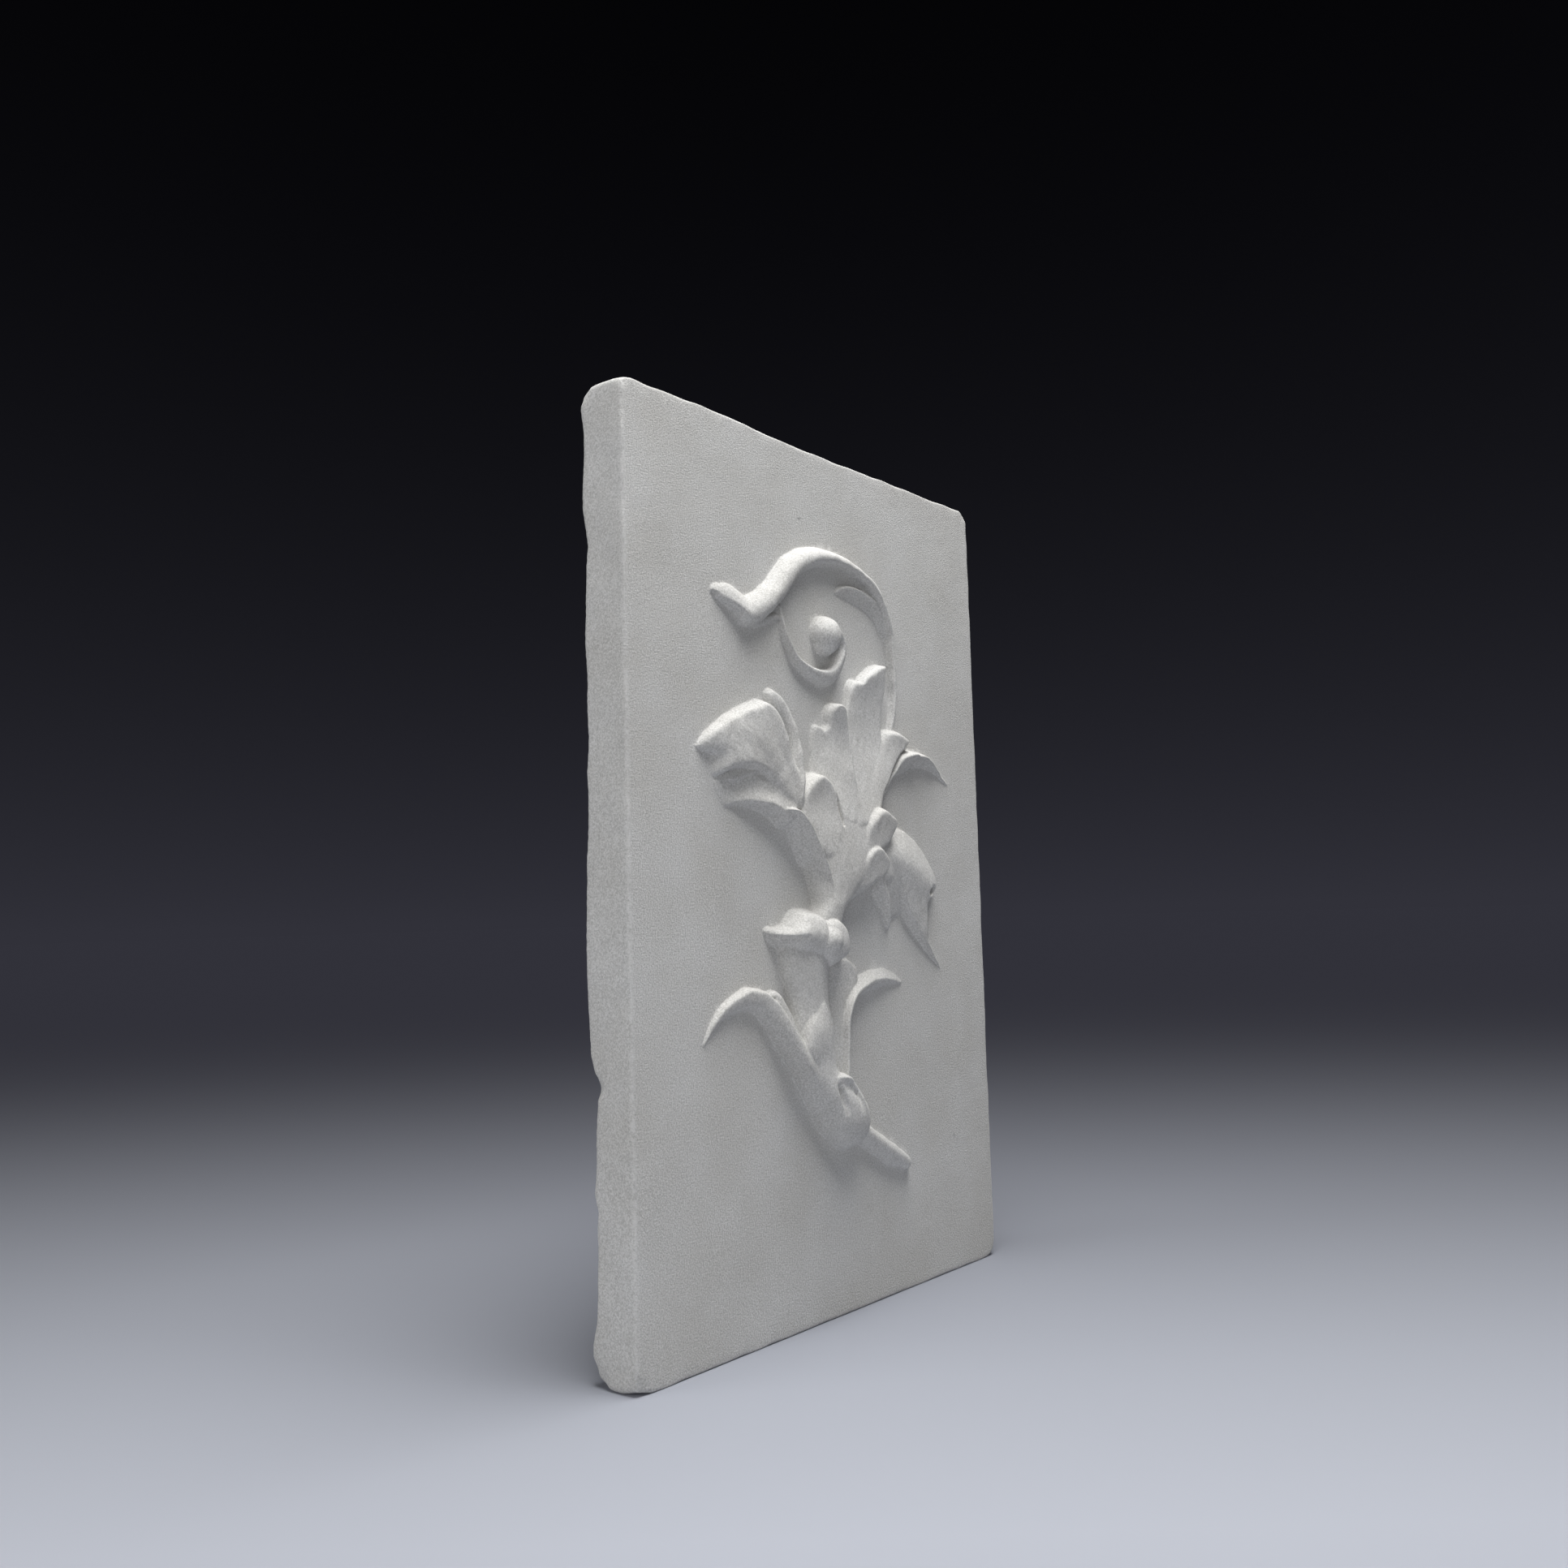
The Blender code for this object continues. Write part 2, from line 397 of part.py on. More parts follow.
def calyx(x, z):
    """The cup-shaped body of leaves, hollow toward the top, and its turned-out tips."""
    body = trunk(x, z, [(262, -40, 6, 13), (275, -29, 13, 14.5), (285, -29, 25, 14.5),
                        (298, -32, 44, 15), (312, -38, 56, 14.5), (330, -46, 62, 13),
                        (345, -36, 62, 11), (357, -28, 64, 9), (368, -19, 68, 6),
                        (380, -12, 70, 4), (392, -6, 72, 2)], (2.6, 0.5, 0.0))
    tall = patch(x, z, [(25.5, 424, 3, 1), (30.5, 432.5, 3, 1), (37, 437.5, 3, 1),
                        (44.5, 438, 3, 0.6), (47.5, 439.5, 3, 0.6), (54, 444.8, 4, 0.8), (64, 450.6, 5, 0.8),
                        (75.5, 454.5, 5, 0.6), (75, 447, 3, 0.8), (73, 436, 3, 0.8), (68.5, 424, 3, 0.8),
                        (66.5, 410, 2, 1), (67, 395, 1, 1), (68, 380, 1, 1), (69, 364, 1, 1),
                        (60, 342, 2, 1), (42, 333, 2, 1), (28, 336, 2, 1), (22, 360, 1, 1),
                        (20, 378, 1, 1), (19, 395, 1.6, 1), (21, 411, 2, 1)],
                 [(75, 454.5, 9.8), (62, 448.5, 9.4), (50, 440.5, 8.4), (40, 437, 7.6), (31, 431, 6),
                  (26, 424, 4.8), (71, 435, 7.2), (58, 434, 6.7), (44, 427, 6), (33, 418, 5),
                  (66, 415, 5.4), (50, 411, 4.7), (30, 402, 4.4), (64, 397, 5.4), (46, 393, 5),
                  (60, 375, 7.6), (40, 375, 7), (64, 360, 9.2), (45, 355, 10), (30, 362, 8.6),
                  (57, 345, 11.5), (42, 337, 12.8), (29, 345, 11)])
    mid = patch(x, z, [(1, 403, 3, 1), (4, 410, 3.5, 1), (8.5, 415.5, 5, 0.8), (14, 419, 6, 0.6),
                       (20, 419.8, 6, 0.6), (24.5, 417, 4, 0.8), (25.5, 408, 3, 0.8), (27, 397, 3, 0.8),
                       (30, 385, 2.5, 0.8), (31.5, 372, 2, 0.8), (34, 360, 1.4, 0.8),
                       (36, 345, 1.4, 1), (30, 334, 2, 1), (12, 336, 3, 1), (-10, 349, 3, 1),
                       (-19, 362, 0.8, 1.5), (-21, 380, 0.8, 1.5), (-19.5, 392, 1, 1.2),
                       (-16, 399, 2, 0.8), (-10.5, 401.5, 3, 0.8),
                       (-6, 400.5, 3.5, 0.8), (-3.5, 399, 3, 0.6)],
                [(20, 418.5, 11.4), (8.5, 413.5, 8.8), (2, 404, 5.8), (-11, 400.5, 3.6), (-21, 388, 1.2),
                 (13, 404, 7.2), (22, 401, 8.2), (4, 394, 5), (-10, 386, 3.2), (22, 386, 7.3),
                 (2, 378, 5.8), (-20, 370, 1.8), (28, 372, 9.4), (8, 364, 7.8), (-14, 358, 5),
                 (32.5, 357, 10.4), (10, 350, 9.8), (-11, 372, 3.8), (32, 342, 11.8), (16, 340, 12)])
    front = patch(x, z, [(-31, 345, 3, 1), (-26, 353.5, 4, 0.8), (-20, 360.5, 5, 0.8),
                         (-13, 365, 5, 0.8), (-5, 367, 5, 0.8), (2.5, 364, 4, 0.8), (7.5, 358, 3, 0.8),
                         (11.5, 351, 3, 0.8), (14, 343, 2.5, 0.8), (15, 334, 1.5, 0.8), (13, 322, 1, 1),
                         (2, 310, 1, 1), (-15, 318, 1, 1), (-29, 333, 2, 1)],
                  [(-5, 366.5, 13), (-18, 360, 12.6), (-27, 350.5, 12.2), (-31, 344, 12), (3, 362.5, 13),
                   (9, 354, 13), (-5, 354, 11.2), (-15, 344, 11.3), (4, 343, 11.8),
                   (-3, 327, 12.8), (13, 341, 13), (12, 330, 13.2), (-20, 333, 12.6), (5, 312, 13.6)])
    side = patch(x, z, [(74.5, 402.5, 2, 0.8), (82, 404.6, 2.5, 0.8), (91, 404.4, 2.5, 0.8),
                        (99, 402.2, 2.5, 0.8), (104, 399.5, 2, 0.8), (98, 393, 3, 0.8), (90, 387, 3, 0.8),
                        (83, 379, 3, 0.8), (77, 370, 3, 0.8), (70, 361, 3, 0.8), (62, 351, 2, 0.8),
                        (54, 358, 0.5, 1), (60, 378, 0.5, 1.5), (66, 392, 0.8, 1.5)],
                 [(77, 403, 7.4), (91, 403.2, 8.2), (103, 400, 7.4), (94, 395, 7.2), (85, 388, 7.8),
                  (76, 376, 8.4), (67, 363, 9.4), (63, 380, 7.7), (69, 392, 6.6)])
    left_tip = ridge(x, z, [(6, 268, 11, 13, 4), (2, 285, 13, 17.5, 4), (-4, 303, 14.5, 20, 5),
                            (-14, 320, 15.3, 20.5, 4), (-25, 334, 16, 17.5, 4), (-33, 340, 15.5, 13, 3.5),
                            (-48, 341.5, 11.5, 9, 3)], slope(0.4), SOFT)
    upper_roll = patch(x, z, [(43, 322, 2, 1), (50, 332, 2, 1), (57, 339.5, 2, 1),
                              (64, 344.6, 2.5, 0.8), (71, 345, 2.6, 0.8), (78, 342.5, 2.8, 0.8),
                              (84, 337.5, 2.6, 0.6), (80, 329, 3, 0.8), (74, 322, 3, 0.8),
                              (66, 318, 3, 0.8), (52, 312, 2, 1), (40, 311, 1, 1)],
                       [(64, 344, 17), (52, 335, 16.4), (43, 323, 14.2), (77, 341.5, 16.6),
                        (83.5, 337, 15.2), (60, 331, 15), (71, 327, 14.6), (50, 324, 14.4),
                        (66, 319, 13.8), (46, 313, 13.8)])
    lower_roll = patch(x, z, [(38, 299, 2, 1), (44, 308, 2, 1), (51, 314, 2.5, 0.8),
                              (58, 317.3, 2.5, 0.8), (64, 317, 2.6, 0.8), (69, 313.5, 2.6, 0.8),
                              (73, 308.5, 2.6, 0.6), (71.5, 302, 3, 0.8), (65, 297, 3, 0.8),
                              (56, 293.5, 3, 0.8), (44, 289, 2, 1), (33, 289, 1, 1)],
                       [(58.5, 316.6, 17.2), (47.5, 310, 16.4), (38.5, 299.5, 14.2), (67.5, 314, 16.6),
                        (72.5, 308.3, 15.4), (57, 305, 15), (46, 300, 14.4), (66, 300, 14.4),
                        (50, 291.5, 13.4)])
    surface = body
    for form in (tall, mid, side, front, left_tip, upper_roll, lower_roll):
        surface = join(surface, form)
    surface = sink(surface, x, z, 14, [(11, 358, 2, 1.5), (12.5, 351, 6, 2.5), (14.5, 342, 6.5, 2.5),
                                       (17, 333, 2, 1.5)])
    return sink(surface, x, z, 11, [(-48, 336, 7, 2.6), (-45, 334, 7, 2.6)])


def foot_leaves(x, z):
    """The two leaves that curl away from the bud below the collar."""
    right = ridge(x, z, [(12, 156, 8, 11, 4), (13.5, 176, 8.6, 12, 5), (15, 193, 9, 12.5, 6),
                         (19, 206, 9.2, 12.5, 7), (28, 215.5, 8.6, 11.5, 8), (44, 221.5, 7, 9, 7.5),
                         (60, 223, 4.8, 7, 6), (71, 221.5, 3, 5, 4), (80, 219, 1, 1.5, 2)],
                  slope(0.15), SOFT)
    web = patch(x, z, [(9, 148, 2, 1), (-6, 150, 2, 1), (-9, 190, 2, 1), (-9, 220, 2, 1),
                       (-2, 236, 2, 1), (11, 238.5, 2, 0.8), (19, 236, 2, 0.8),
                       (25, 231, 1, 1.5), (27, 223, 1, 2), (24, 212, 1, 2), (16, 195, 1, 2)],
                [(-6, 165, 3), (-6, 200, 4.2), (0, 222, 5), (6, 236, 6), (14, 237.5, 5.8),
                 (24, 230, 4.8), (20, 220, 4.8), (10, 190, 4.4), (8, 165, 4)])
    left = ridge(x, z, [(-137, 193, 0.8, 1.5, 1.5), (-128, 203, 2.6, 2.5, 3.5),
                        (-117, 211.5, 4.4, 3.2, 6), (-105, 217.5, 5.6, 3.6, 9),
                        (-90, 221.2, 7, 3.8, 12), (-74, 218.5, 8.5, 3.6, 16), (-59, 208, 10.5, 3.5, 20.5),
                        (-45, 192, 13, 4, 22.5), (-30.5, 173, 15.5, 10, 23),
                        (-22, 160, 14.5, 14, 22), (-14, 148, 12, 14, 18)], ROUND, (2.2, 0.62, 0.0))
    back_tip = ridge(x, z, [(-75, 216.5, 3, 3, 6), (-64, 217.5, 6.4, 4, 9), (-54, 208.5, 9, 4, 9),
                            (-46, 196.5, 11.2, 4, 8), (-36, 182, 13, 4, 6)],
                     ROUND, slope(0.9))
    return join(join(join(right, web), left), back_tip)


def bud_and_stalk(x, z):
    """The stem under the collar, the bud it rises from, the bud's scar, and the stalk."""
    bud = trunk(x, z, [(112, -6, 22, 7), (118, -16, 31, 12), (128, -27, 35, 16), (140, -35, 31, 17),
                       (152, -44, 14, 16.5), (165, -52, -1.5, 15.5), (180, -57, -5, 15),
                       (195, -58, -5, 14), (212, -57, -9.5, 13.2), (228, -61, -9, 13.8),
                       (242, -64, -5, 14.4), (256, -64, 2, 14.5)], (2.2, 0.5, 0.0))
    shoulder = patch(x, z, [(-12, 211.5, 1.6, 1), (-7, 204, 2.5, 0.8), (-5.5, 192, 2.5, 0.8),
                            (-5.5, 176, 2, 0.8),
                            (-14, 165, 2, 1), (-24, 168, 3, 1), (-31, 178, 3, 1), (-31, 188, 3, 1),
                            (-26, 198, 2, 1), (-19, 206, 2, 1)],
                     [(-12, 211, 14.2), (-7.5, 202, 15), (-22, 203, 14.6), (-31, 188, 15.6),
                      (-19, 192, 17), (-7, 188, 15.8), (-26, 178, 16.2), (-8, 175, 15.2),
                      (-20, 167, 14.6)])
    scar = patch(x, z, [(-5, 158, 6, 0.4), (3, 158.8, 6, 0.4), (11, 158.4, 6, 0.4), (18, 156.5, 5, 0.6),
                        (24.5, 149.5, 3, 0.8), (30.5, 141.5, 2.5, 0.8), (35.5, 132.5, 2.5, 0.8),
                        (36.5, 124, 2, 0.8), (31, 118, 2, 1), (20, 120, 3, 1), (8, 130, 3, 1),
                        (-4, 146, 3, 1)],
                 [(-5, 158, 15), (4, 158.6, 17), (12, 158.2, 17.4), (19, 155.5, 17.6), (25.5, 148, 17.6),
                  (31, 140.5, 17), (35.5, 131.5, 15.6), (36, 124, 13), (15, 152.5, 15.4),
                  (21, 145.5, 14.6), (25, 137, 14.4), (28, 128.5, 14), (28, 121, 12), (8, 140, 14.8),
                  (14, 128, 13.6), (-2, 150, 15)])
    stalk = ridge(x, z, [(26, 121, 8, 7, 8), (34, 117, 8.5, 7.2, 12), (50, 108, 8, 6.8, 12.5),
                         (70, 97, 7, 6.2, 12.5), (84, 89, 5.5, 5.5, 9)])
    surface = join(join(join(bud, shoulder), scar), stalk)
    surface = sink(surface, x, z, 16, [(1, 152, 2.5, 2.6), (3, 148, 4, 3.2), (6, 142, 3, 3.2),
                                       (9, 134, 0.6, 3)])
    return sink(surface, x, z, 15, [(17, 152, 1.2, 2.4), (21, 148, 2.4, 3), (24, 142.5, 2, 3),
                                    (26, 135, 0.5, 3)])


def collar(x, z):
    """The thick ring that ties the stem, its wavy lip and the knob at its right end."""
    ring = patch(x, z, [(-73, 263, 2, 0.8), (-60, 260.8, 2, 1), (-49, 262.3, 2.4, 0.8),
                        (-40, 266, 2.6, 0.8), (-31, 270, 2.6, 0.8), (-22, 270.2, 2.4, 1),
                        (-13, 268, 2.2, 1),
                        (-5, 264.6, 2.2, 0.8), (3, 266, 2.2, 1), (11, 264, 2.4, 1),
                        (18, 258.5, 3, 1.2), (20.5, 251, 3, 1.2), (18, 242.5, 3, 1.2),
                        (8, 237.5, 2.5, 1.5), (0, 237, 2.5, 1.5), (-9, 241, 2.2, 1.5),
                        (-22, 243, 2, 1.5), (-34, 245.5, 2, 1.5), (-42, 248.5, 2, 1.2),
                        (-50, 250.5, 2.4, 0.8), (-58, 251.5, 2.4, 0.8), (-68, 255, 2.4, 0.8),
                        (-77, 261, 2, 0.6)],
                 [(-76, 262.5, 1.2), (-69, 262, 3.4), (-60, 261, 5.6), (-49, 262.6, 8.8), (-40, 266.2, 11.4),
                  (-31, 269.8, 13.4), (-20, 269.4, 15), (-5, 264.4, 16.8), (4, 265.5, 16.8),
                  (16, 258, 16.8), (-68, 256.5, 4.4), (-59, 256.8, 7.6), (-50, 257.8, 11.4),
                  (-40, 260.2, 14.8), (-30, 261.2, 17.3), (-20, 259.2, 18.7), (-10, 256.5, 19.1),
                  (4, 256, 19.4), (14, 250.5, 18.4), (-58, 252, 6.8), (-50, 251.5, 9.8),
                  (-42, 250.6, 12.6), (-32, 250.4, 15.8), (-28, 245.4, 14.2), (-10, 243.4, 16.6),
                  (5, 240, 17.6), (15, 243, 17)])
    ring = sink(ring, x, z, 9, [(-67, 257.6, 0.6, 1.6), (-58, 255.6, 1.3, 2), (-49, 254.6, 1.3, 2),
                                (-41, 255.6, 0.5, 1.6)])
    ring = sink(ring, x, z, 19, [(-2.5, 265, 1.6, 2), (-4, 257, 1.8, 2.6), (-6, 247, 1.4, 2.6),
                                 (-8, 240, 0.8, 2)])
    knob = dome(x, z, -24.5, 252.5, 17, 14.5, DRAWN_RELIEF)
    return join(ring, knob)


def ornament(x, z):
    """Height of the whole ornament above the slab's face, in its own units."""
    surface = np.zeros(x.shape)
    for part in (scroll, left_leaf, right_leaves, calyx, foot_leaves, bud_and_stalk, collar):
        surface = join(surface, part(x, z))
    return surface


def relief(x, z):
    """Height in metres above the slab's face, at metres from the origin."""
    left = LEFT_MARGIN - SLAB_WIDTH / 2
    drawn_x = DRAWN_LEFT + (x - left) * DRAWN_WIDTH / ORNAMENT_WIDTH
    drawn_z = DRAWN_FOOT + (z - FOOT_MARGIN) * DRAWN_HEIGHT / ORNAMENT_HEIGHT
    return ornament(drawn_x, drawn_z) * RELIEF_HEIGHT / DRAWN_RELIEF


def lines(before, middle, after, first_corner, last_corner):
    """Grid lines over a margin, the ornament and a margin, fine over the ornament."""
    near_edge = np.array([0.0, 0.25, 0.5, 0.75])
    total = before + middle + after
    first = np.arange(first_corner, before - COARSE_STEP / 2, COARSE_STEP)
    fine = np.linspace(before, before + middle, round(middle / FINE_STEP) + 1)
    last = total - np.arange(last_corner, after - COARSE_STEP / 2, COARSE_STEP)[::-1]
    far_edge = total - last_corner * near_edge[::-1]
    return np.concatenate([first_corner * near_edge, first, fine, last, far_edge])


def outline(x, z, inset):
    """Moves points of the sharp-cornered slab onto one with round corners and an inset."""
    radius = LEFT_CORNER + (RIGHT_CORNER - LEFT_CORNER) * (x / SLAB_WIDTH + 0.5)
    radius = np.maximum(radius, inset)
    straight_x = SLAB_WIDTH / 2 - radius
    straight_z = SLAB_HEIGHT / 2 - radius
    z = z - SLAB_HEIGHT / 2
    over_x = np.maximum(np.abs(x) - straight_x, 0.0)
    over_z = np.maximum(np.abs(z) - straight_z, 0.0)
    round_off = np.maximum(over_x, over_z) / np.maximum(np.hypot(over_x, over_z), 1e-9)
    kept = round_off * (radius - inset) / radius
    new_x = np.sign(x) * (np.minimum(np.abs(x), straight_x) + over_x * kept)
    new_z = np.sign(z) * (np.minimum(np.abs(z), straight_z) + over_z * kept)
    return new_x, new_z + SLAB_HEIGHT / 2


def wane(x, z):
    """How much more than its rounding the back left edge has lost, worn and chipped."""
    worn = np.clip(np.minimum(z, WANE_LENGTH + CHIP_LENGTH - z) / CHIP_LENGTH, 0.0, 1.0)
    chip = np.clip(1.0 - np.abs(z - WANE_LENGTH) / (CHIP_LENGTH / 2), 0.0, 1.0)
    fade = np.clip(1.0 - (x + SLAB_WIDTH / 2) / RIGHT_CORNER, 0.0, 1.0)
    return (WANE_DEPTH * worn + CHIP_DEPTH * chip) * fade


def border(grid):
    """The outermost entries of a grid, in order round it."""
    return np.concatenate([grid[0, :-1], grid[:-1, -1], grid[-1, :0:-1], grid[:0:-1, 0]])


def plaster():
    """Matt off-white cast plaster."""
    material = bpy.data.materials.new("cast_plaster")
    material.use_nodes = True
    shader = material.node_tree.nodes["Principled BSDF"]
    shader.inputs["Base Color"].default_value = (0.62, 0.61, 0.58, 1.0)
    shader.inputs["Roughness"].default_value = 0.9
    shader.inputs["Metallic"].default_value = 0.0
    return material


def cast_slab():
    """One grid for the face and its relief, carried back from its border as rings."""
    across = lines(LEFT_MARGIN, ORNAMENT_WIDTH, RIGHT_MARGIN, LEFT_CORNER, RIGHT_CORNER)
    up = lines(FOOT_MARGIN, ORNAMENT_HEIGHT, HEAD_MARGIN, RIGHT_CORNER, RIGHT_CORNER)
    x, z = np.meshgrid(across - SLAB_WIDTH / 2, up)
    face_x, face_z = outline(x, z, ARRIS)
    face_y = -SLAB_THICKNESS / 2 - relief(face_x, face_z)

    # create_grid makes its points row by row, as the arrays are read here
    bm = bmesh.new()
    bmesh.ops.create_grid(bm, x_segments=len(across) - 1, y_segments=len(up) - 1, size=1.0)
    places = zip(face_x.ravel(), face_y.ravel(), face_z.ravel())
    for vert, place in zip(bm.verts, places):
        vert.co = place

    bm.verts.ensure_lookup_table()
    ring = [bm.verts[number] for number in border(np.arange(x.size).reshape(x.shape))]
    ring_x = border(x)
    ring_z = border(z)
    # each ring: the side it is near, -1 for the face and 1 for the back, and the shares
    # of the rounded edge by which it lies inside the outline and below that side
    for side, inside, below in ((-1, 0.3, 0.3), (-1, 0.0, 1.0), (1, 0.0, 1.0),
                                (1, 0.3, 0.3), (1, 1.0, 0.0)):
        lost = BACK_ARRIS + wane(ring_x, ring_z) if side > 0 else ARRIS
        place_x, place_z = outline(ring_x, ring_z, lost * inside)
        place_y = side * (SLAB_THICKNESS / 2 - lost * below) * np.ones(len(ring))
        grown = [bm.verts.new(place) for place in zip(place_x, place_y, place_z)]
        for index, vert in enumerate(ring):
            after = (index + 1) % len(ring)
            bm.faces.new((vert, ring[after], grown[after], grown[index]))
        ring = grown
    bm.faces.new(ring)
    bmesh.ops.recalc_face_normals(bm, faces=bm.faces)

    mesh = bpy.data.meshes.new("relief_panel")
    bm.to_mesh(mesh)
    bm.free()
    mesh.shade_smooth()
    mesh.materials.append(plaster())
    panel = bpy.data.objects.new("relief_panel", mesh)
    simplify = panel.modifiers.new("simplify", "DECIMATE")
    simplify.ratio = KEPT_SHARE
    return panel


def main():
    for old in list(bpy.data.objects):
        bpy.data.objects.remove(old, do_unlink=True)
    collection = bpy.data.collections.new("plaster_bas_relief")
    bpy.context.scene.collection.children.link(collection)
    collection.objects.link(cast_slab())


main()
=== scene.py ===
"""Looks of the plaster bas-relief: the cast slab, the floor it stands on and soft light.

The casting is one closed surface. Its face is a grid of points across and up the slab,
each moved out by the height of the ornament there. Its sides and back are rings of the
same border points, carried round the rounded edges and over the back. Then the top is
lowered to its uneven upper edge, and the corners are blunted. Everything is worked out
in millimetres and turned to metres when the mesh is made.
"""
import math

import bpy
import numpy as np
from mathutils import Matrix, Vector


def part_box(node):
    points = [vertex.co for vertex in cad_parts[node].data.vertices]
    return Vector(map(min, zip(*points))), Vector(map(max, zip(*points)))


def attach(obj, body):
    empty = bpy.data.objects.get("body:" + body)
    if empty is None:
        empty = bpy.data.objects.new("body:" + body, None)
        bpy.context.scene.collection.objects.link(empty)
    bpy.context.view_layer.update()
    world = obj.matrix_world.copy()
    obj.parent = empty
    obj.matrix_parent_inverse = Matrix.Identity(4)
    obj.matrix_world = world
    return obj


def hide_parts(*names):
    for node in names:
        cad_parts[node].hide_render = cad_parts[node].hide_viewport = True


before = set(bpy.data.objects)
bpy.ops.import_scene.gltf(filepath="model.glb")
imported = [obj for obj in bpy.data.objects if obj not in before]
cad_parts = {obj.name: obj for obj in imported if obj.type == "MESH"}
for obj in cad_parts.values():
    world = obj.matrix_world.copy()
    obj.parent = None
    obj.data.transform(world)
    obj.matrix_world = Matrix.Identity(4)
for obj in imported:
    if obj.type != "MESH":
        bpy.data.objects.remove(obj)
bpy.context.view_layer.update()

MM = 0.001

# The slab, in millimetres, from the frame. Its middle lies at depth 0.
LOW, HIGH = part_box("relief_panel")
WIDTH = (HIGH.x - LOW.x) / MM
HEIGHT = (HIGH.z - LOW.z) / MM
BACK = HIGH.y / MM
FACE = -BACK
RELIEF_HEIGHT = FACE - LOW.y / MM    # the collar's knob, the highest point of the ornament

# The slab's edges, in millimetres.
FACE_ARRIS = 2.0           # rounding between face and sides
BACK_ARRIS = 4.5           # rounding between sides and back
ARRIS_WANDER = 0.25        # how much either rounding varies, as a share of it
LEFT_CORNER = 4.0          # rounding of the left corners, seen from the front
RIGHT_CORNER = 12.0
EDGE_WANDER = 0.8          # unevenness of the sides, inward
FOOT_SHARE = 0.1           # share of it that is left at the foot, which was rubbed flat
FOOT_REACH = 10.0
RIGHT_SHARE = 0.25         # share of it that is left at the right side
BACK_DIP = 0.9             # unevenness of the back, inward
GROUND_DIP = 0.35          # unevenness of the face's ground, inward
HAND_WANDER = 0.25         # how far the ornament's edges stray
HAND_MARKS = 0.08          # how deep the marks of modelling are on the ornament
MARKS_FULL = 4.0           # height above the face from which they are at their full depth

# Ripples, the unevenness of things finished by hand: length in millimetres, and seed.
EDGES_ACROSS = (14.0, 1)   # the ornament's edges, across the slab
EDGES_UP = (14.0, 2)       # and up it
MARKS = (7.0, 3)
GROUND_SWELL = (55.0, 4)
GROUND_WAVES = (17.0, 5)
SIDE_SWELL = (70.0, 6)
SIDE_NICKS = (19.0, 7)
BACK_SWELL = (90.0, 8)
BACK_DRAG = (5.0, 9)       # drag marks of the board that struck the back off
DRAG_STRETCH = 9.0         # how much longer they are across the slab than up it
FACE_EDGE = (30.0, 10)
BACK_EDGE = (45.0, 11)

# Loss of thickness along the back left edge, as (height up the slab, loss), and how far
# it reaches in from the side.
WORN_EDGE = ((0, 0.5), (12, 0.5), (24, 1.2), (37, 5), (53, 7), (87, 5.6), (100, 7.5), (111, 4.2),
             (143, 6.8), (162, 8.4), (181, 5.8), (191, 2.4), (217, 0.2), (239, 0.8), (286, 0.2),
             (348, 4), (360, 3), (382, 4.4), (439, 2.6), (463, 2.4), (500, 5.8), (523, 2),
             (558, 3.4), (569, 3.6), (595, 1), (600, 1))
WORN_REACH = 26.0

# How far the top edge lies below the true top, as (place across the slab, loss), and how far
# down it is felt.
TOP_EDGE = ((-200, 0), (-98, 0), (-72, 1), (-46, 2.1), (-15, 2.9), (8, 2.8), (68, 2.2), (101, 2),
            (136, 2.7), (172, 1.9), (200, 2))
TOP_REACH = 100.0

# Blunted corners and the chip: where each is, how far it reaches and its push, in (x, y, z).
KNOCKS = (
    ((-200, 20, 600), 14.0, (2.0, -2.0, -4.0)),
    ((-200, -20, 600), 9.0, (0.8, 0.8, -1.0)),
    ((-200, 20, 0), 18.0, (3.0, -3.0, 4.0)),
    ((-200, -20, 0), 13.0, (1.2, 1.0, 2.4)),
    ((-200, 12, 172), 9.0, (2.6, -1.5, 0.0)),
    ((198, -20, 598), 9.0, (-0.6, 0.8, -1.0)),
)

# How finely the face is divided over the ornament and elsewhere, and the part of it that is
# divided finely, in millimetres.
FINE_STEP = 0.6
PLAIN_STEP = 2.5
FINE_LEFT = -146.0
FINE_RIGHT = 158.0
FINE_FOOT = 78.0
FINE_TOP = 536.0
CORNER_LINES = 8           # lines of the grid across each rounded corner

# Rings of points behind the face, and the triangles that are kept once all is simplified.
FACE_ARRIS_RINGS = 5
SIDE_RINGS = 8
BACK_ARRIS_RINGS = 8
BACK_RINGS = 24
KEPT_TRIANGLES = 190_000

# The plaster's patterns: how many millimetres apart their features are.
GRIT = 1.1                 # real grit is under 0.3 mm; drawn coarser so that it shows
PATCHES = 60.0             # where the cast dried unevenly
EDGE_BREAKS = 4.0                 # breaks in the paler edges, which are partly rubbed and partly a painted highlight
PINHOLES = 14.0
PINHOLE_SIZE = 0.045       # radius of a pinhole, as a share of the distance between them
GRAIN_DEPTH = 0.6          # how far the grit and the pinholes stand out at full strength
EDGE_BAND = 4.0            # how far from face and sides the paler edge reaches: rubbed, with a painted highlight
SMOOTH_BAND = 5.0          # how far from the face's plane the rubbing is at its full effect
PLANE_BAND = 1.0           # how far from the face's plane, or a side, it begins

# The photograph's view: where from, in metres, degrees turned right of straight on,
# degrees upward, degrees of tilt, and focal length in millimetres.
VIEW_PLACE = (-0.780, -0.599, 0.271)
VIEW_TURN = 51.50
VIEW_RISE = 5.35
VIEW_ROLL = -1.53
VIEW_LENS = 31.93
